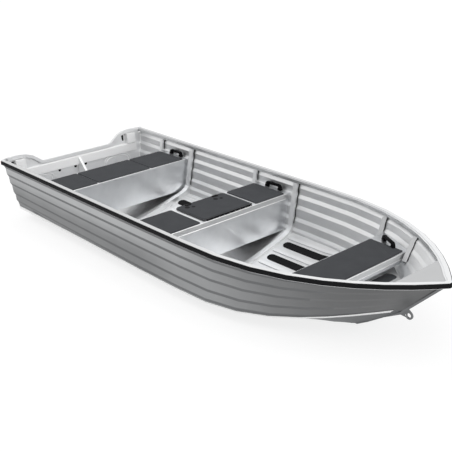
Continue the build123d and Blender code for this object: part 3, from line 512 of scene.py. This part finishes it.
def dressed(node):
    """A copy of a CAD piece with merged vertices, soft edges and its own finish."""
    work = merged(frame["nodes"][node].data)
    if node in BEVEL_OF_NODE:
        sharp = [
            edge
            for edge in work.edges
            if edge.is_manifold and edge.calc_face_angle(0) > BEVEL_ANGLE
        ]
        bmesh.ops.bevel(
            work,
            geom=sharp,
            offset=BEVEL_OF_NODE[node],
            segments=2,
            affect="EDGES",
            clamp_overlap=True,
        )
    mesh = frame["nodes"][node].data.copy()
    work.to_mesh(mesh)
    work.free()
    mesh.polygons.foreach_set("use_smooth", [True] * len(mesh.polygons))
    mark_creases(mesh)
    lay_finishes(node, mesh)
    if node == "grab_handles":
        swell(mesh, HANDLE_SWELL)
    elif node == "lid_latches":
        swell(mesh, LATCH_SWELL)
    elif node == "bow_ribs":
        shorten_bow_rib(mesh)
    elif node.startswith("rub_strip"):
        deepen_strip(mesh)
    piece = bpy.data.objects.new("dressed_" + node, mesh)
    bpy.context.collection.objects.link(piece)
    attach(piece, body_of[node])
    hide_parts(node)


# Soft pads, in metres
PAD_STEP = 0.02
PAD_RINGS = (0.0008, 0.0022, 0.0045, 0.008, 0.013)  # insets of the rings along the edge
PAD_ROLL = 0.008
PAD_GRID_INSET = PAD_RINGS[-1] + 0.008
PAD_CROWN_REACH = 0.09
PAD_PULL = 0.0012  # how far the sides are drawn in between the corners
PAD_WAVES = 14  # waves of unevenness to the metre
BOW_PAD_RUN = (3.32, 0.32)  # aft end and length of the bow pad
BOW_PAD_TAPER = 0.13


def pad_outline(node):
    """Outline of a pad's underside in the plan, with its lowest height and its thickness."""
    shape = merged(frame["nodes"][node].data)
    heights = [vertex.co.z for vertex in shape.verts]
    low, thick = min(heights), max(heights) - min(heights)
    under = max(
        (face for face in shape.faces if face.normal.z < -0.9), key=lambda face: face.calc_area()
    )
    corners = [vertex.co.xy for vertex in reversed(under.verts)]
    shape.free()
    outline = []
    for here, there in zip(corners, corners[1:] + corners[:1]):
        count = max(1, math.ceil((there - here).length / PAD_STEP))
        outline += [here.lerp(there, step / count) for step in range(count)]
    return outline, low, thick


def plan_box(points):
    """Lowest and highest corner of the points in the plan."""
    xs, ys = [point.x for point in points], [point.y for point in points]
    return Vector((min(xs), min(ys))), Vector((max(xs), max(ys)))


def pull_in(points):
    """The plan with its sides drawn in between the corners, as foam trimmed by hand."""
    low, high = plan_box(points)
    middle, half = (low + high) / 2, (high - low) / 2
    drawn = []
    for point in points:
        away = point - middle
        share_x, share_y = min(1, abs(away.x) / half.x), min(1, abs(away.y) / half.y)
        shift_x = math.copysign(share_x**3 * (1 - share_y**2), away.x)
        shift_y = math.copysign(share_y**3 * (1 - share_x**2), away.y)
        drawn.append(point - Vector((shift_x, shift_y)) * PAD_PULL)
    return drawn


def edge_distance(point, outline):
    """Distance in the plan from a point to the outline."""
    nearest = math.inf
    for here, there in zip(outline, outline[1:] + outline[:1]):
        foot, share = geometry.intersect_point_line(point, here, there)
        if not 0 < share < 1:
            foot = here
        nearest = min(nearest, (point - foot.xy).length)
    return nearest


def foam_height(distance, thick, place):
    """Height of the pad's skin at a distance from its edge."""
    roll = 1 - min(distance, PAD_ROLL) / PAD_ROLL
    shoulder = 0.4 + 0.46 * math.sqrt(1 - roll * roll)
    crown = 0.1 * math.sin(math.pi / 2 * min(distance, PAD_CROWN_REACH) / PAD_CROWN_REACH)
    wave = noise.noise(Vector((place.x * PAD_WAVES, place.y * PAD_WAVES, 0)))
    uneven = 0.04 * wave * min(1, distance / PAD_STEP)
    return thick * (shoulder + crown + uneven)


def pad_plan(outline):
    """Points of the pad's skin in the plan: its outline, rings inside it and a grid."""
    plan = list(outline)
    for inset in PAD_RINGS:
        for index, here in enumerate(outline):
            along = outline[(index + 1) % len(outline)] - outline[index - 1]
            plan.append(here + Vector((-along.y, along.x)).normalized() * inset)
    low, high = plan_box(outline)
    for row in range(int((high.y - low.y) / PAD_STEP)):
        for column in range(int((high.x - low.x) / PAD_STEP)):
            place = Vector((low.x + (column + 0.5) * PAD_STEP, low.y + (row + 0.5) * PAD_STEP))
            if edge_distance(place, outline) > PAD_GRID_INSET:
                plan.append(place)
    return plan


def soft_pad(node):
    """A crowned foam pad with rolled edges, in the place of its CAD solid."""
    outline, low, thick = pad_outline(node)
    outline = pull_in(outline)
    if node == "bow_pad":
        aft, length = BOW_PAD_RUN
        for point in outline:
            point.y *= 1 - BOW_PAD_TAPER * min(1, max(0, (point.x - aft) / length))
    count = len(outline)
    rim = [(index, (index + 1) % count) for index in range(count)]
    points, _, faces = geometry.delaunay_2d_cdt(
        pad_plan(outline), rim, [], 1, 0.00001, False
    )[:3]
    skin = bmesh.new()
    top = []
    for point in points:
        height = low + foam_height(edge_distance(point, outline), thick, point)
        top.append(skin.verts.new((point.x, point.y, height)))
    for corners in faces:
        skin.faces.new([top[index] for index in corners])
    border = [edge for edge in skin.edges if edge.is_boundary]
    foot = bmesh.ops.extrude_edge_only(skin, edges=border)["geom"]
    for item in foot:
        if isinstance(item, bmesh.types.BMVert):
            item.co.z = low
    open_edges = [edge for edge in skin.edges if edge.is_boundary]
    bmesh.ops.contextual_create(skin, geom=open_edges)
    bmesh.ops.recalc_face_normals(skin, faces=skin.faces)
    mesh = bpy.data.meshes.new("soft_" + node)
    skin.to_mesh(mesh)
    skin.free()
    mesh.polygons.foreach_set("use_smooth", [True] * len(mesh.polygons))
    mesh.set_sharp_from_angle(angle=math.radians(70))
    mesh.materials.append(SEAT_FOAM)
    pad = bpy.data.objects.new("soft_" + node, mesh)
    bpy.context.collection.objects.link(pad)
    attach(pad, body_of[node])
    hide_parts(node)


for node in frame["nodes"]:
    if slot_of[node] == "foam":
        soft_pad(node)
    else:
        dressed(node)


# Trim that is too fine for the solids
def add_piece(name, mesh, finish, body="hull"):
    """A piece of its own that rides on a body of the boat."""
    mesh.polygons.foreach_set("use_smooth", [True] * len(mesh.polygons))
    mesh.set_sharp_from_angle(angle=math.radians(30))
    mesh.materials.append(finish)
    piece = bpy.data.objects.new(name, mesh)
    bpy.context.collection.objects.link(piece)
    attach(piece, body)


def swept(name, rings, finish):
    """A closed skin over rings of as many points each, capped at both ends."""
    skin = bmesh.new()
    loops = [[skin.verts.new(point) for point in ring] for ring in rings]
    for near, far in zip(loops, loops[1:]):
        for index in range(len(near)):
            after = (index + 1) % len(near)
            skin.faces.new((near[index], near[after], far[after], far[index]))
    skin.faces.new(loops[0][::-1])
    skin.faces.new(loops[-1])
    bmesh.ops.recalc_face_normals(skin, faces=skin.faces)
    mesh = bpy.data.meshes.new(name)
    skin.to_mesh(mesh)
    skin.free()
    add_piece(name, mesh, finish)


# Rolled edges of the thwarts, as (name, x, z, half length, radius)
THWART_EDGES = (
    ("mid_thwart_seat_edge", 2.1985, 0.4432, 0.735, 0.0035),
    ("mid_thwart_lip", 2.2, 0.3985, 0.73, 0.004),
    ("rear_thwart_seat_edge", 0.8145, 0.4385, 0.735, 0.003),
    ("bow_thwart_seat_edge", 3.6485, 0.4335, 0.45, 0.003),
    ("bow_thwart_lip", 3.65, 0.3885, 0.44, 0.003),
)


def rolled_edge(name, x, z, half_length, radius):
    """A rolled sheet edge across the boat: a round bead that runs back into the sheet."""
    turns = [math.radians(angle) for angle in range(-120, 121, 30)]
    profile = [(radius * math.cos(turn), radius * math.sin(turn)) for turn in turns]
    profile += [(-1.6 * radius, 0.3 * radius), (-1.6 * radius, -0.3 * radius)]
    near_end = half_length - 0.004
    rings = []
    for y, grow in ((-half_length, 0.6), (-near_end, 1), (near_end, 1), (half_length, 0.6)):
        rings.append([(x + dx * grow, y, z + dz * grow) for dx, dz in profile])
    swept(name, rings, ROLLED_EDGE)


def pressed_bead(name, points, radius, out):
    """A half-round swage along a line on a plate, tapered at its ends."""
    turns = [math.radians(angle) for angle in range(-20, 201, 20)]
    last = len(points) - 1
    rings = []
    for index, point in enumerate(points):
        along = points[min(index + 1, last)] - points[max(index - 1, 0)]
        across = along.cross(out).normalized()
        reach = radius * min(1, 0.25 + 0.5 * min(index, last - index))
        rings.append(
            [point + reach * (across * math.cos(turn) + out * math.sin(turn)) for turn in turns]
        )
    swept(name, rings, ROLLED_EDGE)


# Shadowed gaps at the ribs and frames, as (name, x of the rib's front, foot, head)
RIB_GAPS = (
    ("aft", 0.4242, 0.45, 0.545),
    ("rear_frame", 0.8922, 0.19, 0.545),
    ("middle", 1.7842, 0.455, 0.545),
    ("mid_frame", 2.2912, 0.19, 0.545),
    ("fore", 3.3002, 0.44, 0.545),
    ("bow", 3.7002, 0.39, 0.545),
)
GAP_STEPS = 12
GAP_WIDE_FROM = 10  # the steps from here up are wider
GAP_PROUD = 0.0016
GAP_OFF_WALL = 0.0002


def rib_gap(name, x, foot, head, side, way):
    """The shadowed gap where the front of a rib meets the hull side, as a thin strip."""
    wall = surface_of(f"side_plate_{side}")
    rings = []
    for step in range(GAP_STEPS + 1):
        z = foot + (head - foot) * step / GAP_STEPS
        hit = wall.ray_cast(Vector((x, 0.1 * way, z)), Vector((0, way, 0)))[0]
        wide = 0.012 if step >= GAP_WIDE_FROM else 0.008
        corners = ((0, GAP_OFF_WALL), (GAP_PROUD, GAP_OFF_WALL), (GAP_PROUD, wide), (0, wide))
        rings.append([hit + Vector((dx, -way * dy, 0)) for dx, dy in corners])
    swept(f"rib_gap_{name}_{side}", rings, DARK_GAP)


TRANSOM = surface_of("transom_plate")
BOARD = surface_of("transom_board")


def on_transom(y, z, surface=TRANSOM):
    """The point of the transom's inner face at this place."""
    hit = surface.ray_cast(Vector((0.4, y, z)), Vector((-1, 0, 0)))[0]
    return Vector((hit.x, y, z))


# Swages pressed into the transom on each side, as (name, reach, rise)
TRANSOM_SWAGES = (("outer", 1, 0.095), ("inner", 0.86, 0.075))
SWAGE_CENTRE = 0.465
SWAGE_FOOT = 0.285
SWAGE_HALF = 0.165
SWAGE_RADIUS = 0.0045


def transom_swage(name, reach, rise, side, way):
    """A pressed arch on the transom, with upright ends and a flat crown."""
    line = []
    for step in range(25):
        turn = math.radians(180 - 7.5 * step)
        across = math.copysign(abs(math.cos(turn)) ** 0.8, math.cos(turn))
        y = way * (SWAGE_CENTRE + SWAGE_HALF * reach * across)
        line.append(on_transom(y, SWAGE_FOOT + rise * math.sin(turn) ** 0.7))
    pressed_bead(f"transom_swage_{side}_{name}", line, SWAGE_RADIUS, Vector((1, 0, 0)))


def dark_slot(name, corners):
    """A shadowed gap or slot: a thin plate with eased edges over the sheet behind it."""
    middle = sum(corners, Vector()) / len(corners)
    out = Vector((1, 0, 0))
    rings = []
    for depth, grow in ((-0.001, 1), (0.00036, 1), (0.0006, 0.9)):
        rings.append([middle + (corner - middle) * grow + out * depth for corner in corners])
    swept(name, rings, DARK_GAP)


# Corners of the painted shade on the side of each post, the board's seam and the notches under it,
# as (y, z); the y of a post's shade or a notch counts from its own place
POST_SHADE = ((0, 0.555), (0.026, 0.555), (0.022, 0.495), (0.004, 0.495))
POST_SHADE_AT = {"port": 0.552, "starboard": -0.732}
BOARD_SEAM = ((-0.272, 0.463), (-0.264, 0.463), (-0.264, 0.378), (-0.272, 0.378))
BOARD_NOTCH = ((-0.017, 0.373), (0.017, 0.373), (0.012, 0.35), (-0.012, 0.35))
BOARD_NOTCHES_AT = (-0.23, -0.045, 0.078)

for thwart_edge in THWART_EDGES:
    rolled_edge(*thwart_edge)
for side, way in SIDES:
    for gap in RIB_GAPS:
        rib_gap(*gap, side, way)
    for swage in TRANSOM_SWAGES:
        transom_swage(*swage, side, way)
    # A dark plate stands for the shaded side face of each post: painted shade.
    shade_y = POST_SHADE_AT[side]
    dark_slot(f"post_slot_{side}", [on_transom(shade_y + dy, z) for dy, z in POST_SHADE])
dark_slot("board_seam", [on_transom(y, z, BOARD) for y, z in BOARD_SEAM])
for index, y in enumerate(BOARD_NOTCHES_AT):
    dark_slot(f"board_notch_{index}", [on_transom(y + dy, z) for dy, z in BOARD_NOTCH])

# Grip strips and swages on the bottom plates between the rear and the middle thwart
GRIP_RUN = (0.91, 1.74)
GRIP_MIDDLE = 0.57
GRIP_WIDTH = 0.08
GRIP_THICK = 0.003
FLOOR_SWAGES = (("outer", 0.69), ("middle", 0.655), ("inner", 0.465))
FLOOR_SWAGE_START = 0.905
FLOOR_SWAGE_STEP = 0.044
FLOOR_SWAGE_RADIUS = 0.005
DOWN = Vector((0, 0, -1))


def grip_mat(name, floor, y):
    """A rubber strip with round ends, laid on the bottom plates."""
    radius = GRIP_WIDTH / 2
    aft, fore = GRIP_RUN
    middle = (aft + fore) / 2
    turns = [math.radians(angle) for angle in range(0, 181, 15)]
    outline = [
        (aft + radius - radius * math.sin(turn), y + radius * math.cos(turn)) for turn in turns
    ]
    outline += [
        (fore - radius + radius * math.sin(turn), y - radius * math.cos(turn)) for turn in turns
    ]
    rings = []
    for rise, grow in ((0.0001, 1), (GRIP_THICK * 0.7, 1), (GRIP_THICK, 0.985)):
        ring = []
        for px, py in outline:
            above = Vector((px + (middle - px) * (1 - grow) * 0.2, y + (py - y) * grow, 0.4))
            ring.append(floor.ray_cast(above, DOWN)[0] + Vector((0, 0, rise)))
        rings.append(ring)
    swept(name, rings, GRIP_RUBBER)


for side, way in SIDES:
    floor = surface_of(f"bottom_plate_{side}")
    grip_mat(f"aft_grip_strip_{side}", floor, way * GRIP_MIDDLE)
    for name, y in FLOOR_SWAGES:
        starts = [
            Vector((FLOOR_SWAGE_START + FLOOR_SWAGE_STEP * step, way * y, 0.4))
            for step in range(20)
        ]
        line = [floor.ray_cast(start, DOWN)[0] for start in starts]
        pressed_bead(f"floor_swage_{name}_{side}", line, FLOOR_SWAGE_RADIUS, -DOWN)


# Repeated small pieces
def lathed(name, profile, turns=14):
    """A small turned piece standing on the XY plane; its profile is (radius, height) pairs."""
    skin = bmesh.new()
    angles = [2 * math.pi * step / turns for step in range(turns)]
    rings = []
    for radius, height in profile:
        rings.append(
            [skin.verts.new((radius * math.cos(a), radius * math.sin(a), height)) for a in angles]
        )
    for low, high in zip(rings, rings[1:]):
        for step in range(turns):
            after = (step + 1) % turns
            skin.faces.new((low[step], low[after], high[after], high[step]))
    skin.faces.new(rings[0][::-1])
    skin.faces.new(rings[-1])
    mesh = bpy.data.meshes.new(name)
    skin.to_mesh(mesh)
    skin.free()
    mesh.polygons.foreach_set("use_smooth", [True] * len(mesh.polygons))
    return mesh


def build_row_tree():
    """Copies of a small piece at even spacing along a line, standing on the surface under it."""
    tree = bpy.data.node_groups.new("Row of pieces", "GeometryNodeTree")
    for label, kind in (
        ("Geometry", "NodeSocketGeometry"),
        ("Piece", "NodeSocketObject"),
        ("Spacing", "NodeSocketFloat"),
        ("Size", "NodeSocketFloat"),
        ("Finish", "NodeSocketMaterial"),
    ):
        tree.interface.new_socket(label, in_out="INPUT", socket_type=kind)
    tree.interface.new_socket("Geometry", in_out="OUTPUT", socket_type="NodeSocketGeometry")
    nodes, links = tree.nodes, tree.links
    given, result = nodes.new("NodeGroupInput"), nodes.new("NodeGroupOutput")
    line = nodes.new("GeometryNodeMeshToCurve")
    points = nodes.new("GeometryNodeResampleCurve")
    points.mode = "LENGTH"
    piece = nodes.new("GeometryNodeObjectInfo")
    upright = nodes.new("GeometryNodeInputNamedAttribute")
    upright.data_type = "FLOAT_VECTOR"
    upright.inputs["Name"].default_value = "upright"
    turn = nodes.new("FunctionNodeAlignRotationToVector")
    turn.axis = "Z"
    place = nodes.new("GeometryNodeInstanceOnPoints")
    real = nodes.new("GeometryNodeRealizeInstances")
    finish = nodes.new("GeometryNodeSetMaterial")
    links.new(given.outputs["Geometry"], line.inputs["Mesh"])
    links.new(line.outputs["Curve"], points.inputs["Curve"])
    links.new(given.outputs["Spacing"], points.inputs["Length"])
    links.new(given.outputs["Piece"], piece.inputs["Object"])
    links.new(upright.outputs["Attribute"], turn.inputs["Vector"])
    links.new(points.outputs["Curve"], place.inputs["Points"])
    links.new(piece.outputs["Geometry"], place.inputs["Instance"])
    links.new(turn.outputs["Rotation"], place.inputs["Rotation"])
    links.new(given.outputs["Size"], place.inputs["Scale"])
    links.new(place.outputs["Instances"], real.inputs["Geometry"])
    links.new(real.outputs["Geometry"], finish.inputs["Geometry"])
    links.new(given.outputs["Finish"], finish.inputs["Material"])
    links.new(finish.outputs["Geometry"], result.inputs["Geometry"])
    return tree


ROW_TREE = build_row_tree()
ROW_INPUTS = {
    item.name: item.identifier
    for item in ROW_TREE.interface.items_tree
    if item.in_out == "INPUT"
}
SCREW_HEAD = lathed("screw_head", [(1, 0), (1, 0.18), (0.86, 0.42), (0.55, 0.6), (0.2, 0.66)])
WELD_RIPPLE = lathed(
    "weld_ripple", [(1, -0.2), (0.98, 0.12), (0.8, 0.34), (0.5, 0.48), (0.15, 0.52)]
)


def row(name, runs, piece_mesh, spacing, size, finish):
    """Rows of small pieces; each run is a line of (point, normal) pairs."""
    line = bmesh.new()
    normals = line.verts.layers.float_vector.new("upright")
    for run in runs:
        before = None
        for point, normal in run:
            vertex = line.verts.new(point)
            vertex[normals] = normal
            if before:
                line.edges.new((before, vertex))
            before = vertex
    mesh = bpy.data.meshes.new(name + "_line")
    line.to_mesh(mesh)
    line.free()
    model = bpy.data.objects.new(name + "_piece", piece_mesh)
    holder = bpy.data.objects.new(name, mesh)
    for item in (model, holder):
        bpy.context.collection.objects.link(item)
    repeat = holder.modifiers.new("row", "NODES")
    repeat.node_group = ROW_TREE
    repeat[ROW_INPUTS["Piece"]] = model
    repeat[ROW_INPUTS["Spacing"]] = spacing
    repeat[ROW_INPUTS["Size"]] = size
    repeat[ROW_INPUTS["Finish"]] = finish
    evaluated = holder.evaluated_get(bpy.context.evaluated_depsgraph_get())
    made = bpy.data.meshes.new_from_object(evaluated)
    for item in (holder, model):
        bpy.data.objects.remove(item)
    piece = bpy.data.objects.new(name, made)
    bpy.context.collection.objects.link(piece)
    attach(piece, "hull")


def seen_along(node, first, last, count, way):
    """Points and normals that a row of lines from first to last meets on a piece."""
    surface = surface_of(node)
    starts = [Vector(first).lerp(Vector(last), step / (count - 1)) for step in range(count)]
    hits = [surface.ray_cast(start, Vector(way))[:2] for start in starts]
    return [(point, normal) for point, normal in hits if point is not None]


WELD_START_Y = 0.68
WELD_FOOT = 0.2
WELD_STEP = 0.015
WELD_OFF = 0.0015


def corner_weld(side, way):
    """The line of the weld between the transom and a side plate."""
    wall = surface_of(f"side_plate_{side}")
    run = []
    for step in range(24):
        start = on_transom(way * WELD_START_Y, WELD_FOOT + WELD_STEP * step)
        hit = wall.ray_cast(start + Vector((WELD_OFF, 0, 0)), Vector((0, way, 0)))[0]
        run.append((hit - Vector((0, way * WELD_OFF, 0)), Vector((1, -way, 0)).normalized()))
    return run


HINGE_SCREWS = seen_along("hinge_fixed", (2.1905, -0.18, 0.5), (2.1905, 0.3, 0.5), 17, DOWN)
PAD_BOLTS = [
    seen_along("motor_pad", (-0.3, -0.16, z), (-0.3, 0.16, z), 3, (1, 0, 0))
    for z in (0.46, 0.345)
]
WELDS = [corner_weld(side, way) for side, way in SIDES]
# Each row with the spacing and the size of its pieces
row("screws", [HINGE_SCREWS], SCREW_HEAD, 0.06, 0.0034, SCREW_METAL)
row("pad_bolts", PAD_BOLTS, SCREW_HEAD, 0.16, 0.007, SCREW_METAL)
row("corner_welds", WELDS, WELD_RIPPLE, 0.0045, 0.005, ROLLED_EDGE)

# Black finger wells beside the latches of the hatch lid, as (x, y, radius), and their profile
# as (share of the radius, height)
LATCH_WELLS = (
    (1.872, -0.137, 0.022),
    (1.893, -0.086, 0.016),
    (1.886, 0.174, 0.022),
    (1.904, 0.223, 0.016),
)
WELL_PROFILE = ((1, 0.4586), (1, 0.4598), (0.86, 0.4606), (0.7, 0.4602))
for index, (x, y, radius) in enumerate(LATCH_WELLS):
    name = f"latch_well_{index}"
    well = lathed(name, [(radius * share, height) for share, height in WELL_PROFILE], 20)
    well.transform(Matrix.Translation((x, y, 0)))
    add_piece(name, well, BLACK_PLASTIC, body="hatch")


# Studio: a pale floor at the waterline, soft lamps and a white surround
FLOOR_REACH = 30
FLOOR_TONE = 0.25
FLOOR_GLOW = 0.8
SURROUND_TONE = (0.45, 0.45, 0.455, 1)
WHITE = (1, 1, 1, 1)
WATERLINE_STEP = 0.01
WATERLINE_END = 0.014  # half width of the hull where the opening in the floor ends
INTO_PLATE = 0.005
INTO_TRANSOM = 0.002

# Camera: its place in metres, its angles in radians, its lens and sensor in millimetres
CAMERA_PLACE = (6.878, -4.354, 3.010)
CAMERA_YAW = 0.7499
CAMERA_PITCH = 0.3946
CAMERA_ROLL = -0.0041
CAMERA_LENS = 66.16
CAMERA_SENSOR = 36


def seen_by_eye(nodes, links):
    """1 for camera, glossy and transmitted rays, 0 for the rest."""
    rays = nodes.new("ShaderNodeLightPath")
    seen = rays.outputs["Is Camera Ray"]
    for label in ("Is Glossy Ray", "Is Transmission Ray"):
        either = nodes.new("ShaderNodeMath")
        either.operation = "MAXIMUM"
        links.new(seen, either.inputs[0])
        links.new(rays.outputs[label], either.inputs[1])
        seen = either.outputs[0]
    return seen


def waterline():
    """Points round the hull in the thickness of its plates, at the height of the floor."""
    plate = surface_of("bottom_plate_starboard")
    aft = TRANSOM.ray_cast(Vector((-1, 0.05, 0)), Vector((1, 0, 0)))[0].x + INTO_TRANSOM
    side = []
    for step in range(math.ceil(BOAT_LENGTH / WATERLINE_STEP)):
        x = aft + WATERLINE_STEP * step
        hit = plate.ray_cast(Vector((x, -2, 0)), Vector((0, 1, 0)))[0]
        if hit is None or hit.y > -WATERLINE_END:
            break
        side.append((x, hit.y + INTO_PLATE))
    return side + [(x, -y) for x, y in reversed(side)]


def build_floor():
    """A wide sheet at the waterline, open inside the hull."""
    far = FLOOR_REACH
    rim = [(-far, -far), (far, -far), (far, far), (-far, far)]
    sheet = bmesh.new()
    edges = []
    for loop in (rim, waterline()):
        corners = [sheet.verts.new((x, y, 0)) for x, y in loop]
        edges += [sheet.edges.new(pair) for pair in zip(corners, corners[1:] + corners[:1])]
    bmesh.ops.triangle_fill(sheet, edges=edges, use_beauty=True, use_dissolve=False)
    for face in sheet.faces:
        if face.normal.z < 0:
            face.normal_flip()
    mesh = bpy.data.meshes.new("floor")
    sheet.to_mesh(mesh)
    sheet.free()
    floor = bpy.data.objects.new("floor", mesh)
    bpy.context.collection.objects.link(floor)
    material, nodes, links, shader = new_material("Studio floor")
    shader.inputs["Base Color"].default_value = (FLOOR_TONE, FLOOR_TONE, FLOOR_TONE, 1)
    shader.inputs["Roughness"].default_value = 1
    shader.inputs["Specular IOR Level"].default_value = 0
    shader.inputs["Emission Color"].default_value = WHITE
    glow = nodes.new("ShaderNodeMath")
    glow.operation = "MULTIPLY"
    glow.inputs[1].default_value = FLOOR_GLOW
    links.new(seen_by_eye(nodes, links), glow.inputs[0])
    links.new(glow.outputs[0], shader.inputs["Emission Strength"])
    mesh.materials.append(material)


def build_sun(name, towards, spread, strength, mirrored):
    """A wide soft light from far away, so the whole floor is lit alike."""
    lamp = bpy.data.lights.new(name, "SUN")
    lamp.angle = math.radians(spread)
    lamp.energy = strength
    holder = bpy.data.objects.new(name, lamp)
    bpy.context.collection.objects.link(holder)
    holder.rotation_euler = Vector(towards).to_track_quat("-Z", "Y").to_euler()
    holder.visible_glossy = mirrored


def build_world():
    """White to the eye and in reflections, grey as a source of light."""
    world = bpy.data.worlds.new("Studio")
    bpy.context.scene.world = world
    world.use_nodes = True
    nodes, links = world.node_tree.nodes, world.node_tree.links
    background = nodes["Background"]
    mix = nodes.new("ShaderNodeMix")
    mix.data_type = "RGBA"
    mix.inputs["A"].default_value = SURROUND_TONE
    mix.inputs["B"].default_value = WHITE
    links.new(seen_by_eye(nodes, links), mix.inputs["Factor"])
    links.new(mix.outputs["Result"], background.inputs["Color"])
    background.inputs["Strength"].default_value = 1


def build_camera():
    """The camera that sees the boat as the photograph does."""
    data = bpy.data.cameras.new("camera")
    data.lens = CAMERA_LENS
    data.sensor_width = CAMERA_SENSOR
    camera = bpy.data.objects.new("camera", data)
    bpy.context.collection.objects.link(camera)
    level = math.cos(CAMERA_PITCH)
    ahead = Vector(
        (
            -math.cos(CAMERA_YAW) * level,
            math.sin(CAMERA_YAW) * level,
            -math.sin(CAMERA_PITCH),
        )
    )
    facing = ahead.to_track_quat("-Z", "Y").to_matrix().to_4x4()
    roll = Matrix.Rotation(CAMERA_ROLL, 4, "Z")
    camera.matrix_world = Matrix.Translation(CAMERA_PLACE) @ facing @ roll
    bpy.context.scene.camera = camera


build_floor()
build_world()
build_sun("overhead", (0.15, 0.25, -0.95), 75, 1.3, mirrored=False)
build_sun("front", (-0.8, -0.15, -0.6), 60, 1.0, mirrored=True)
build_camera()
bpy.context.scene.view_settings.view_transform = "Standard"
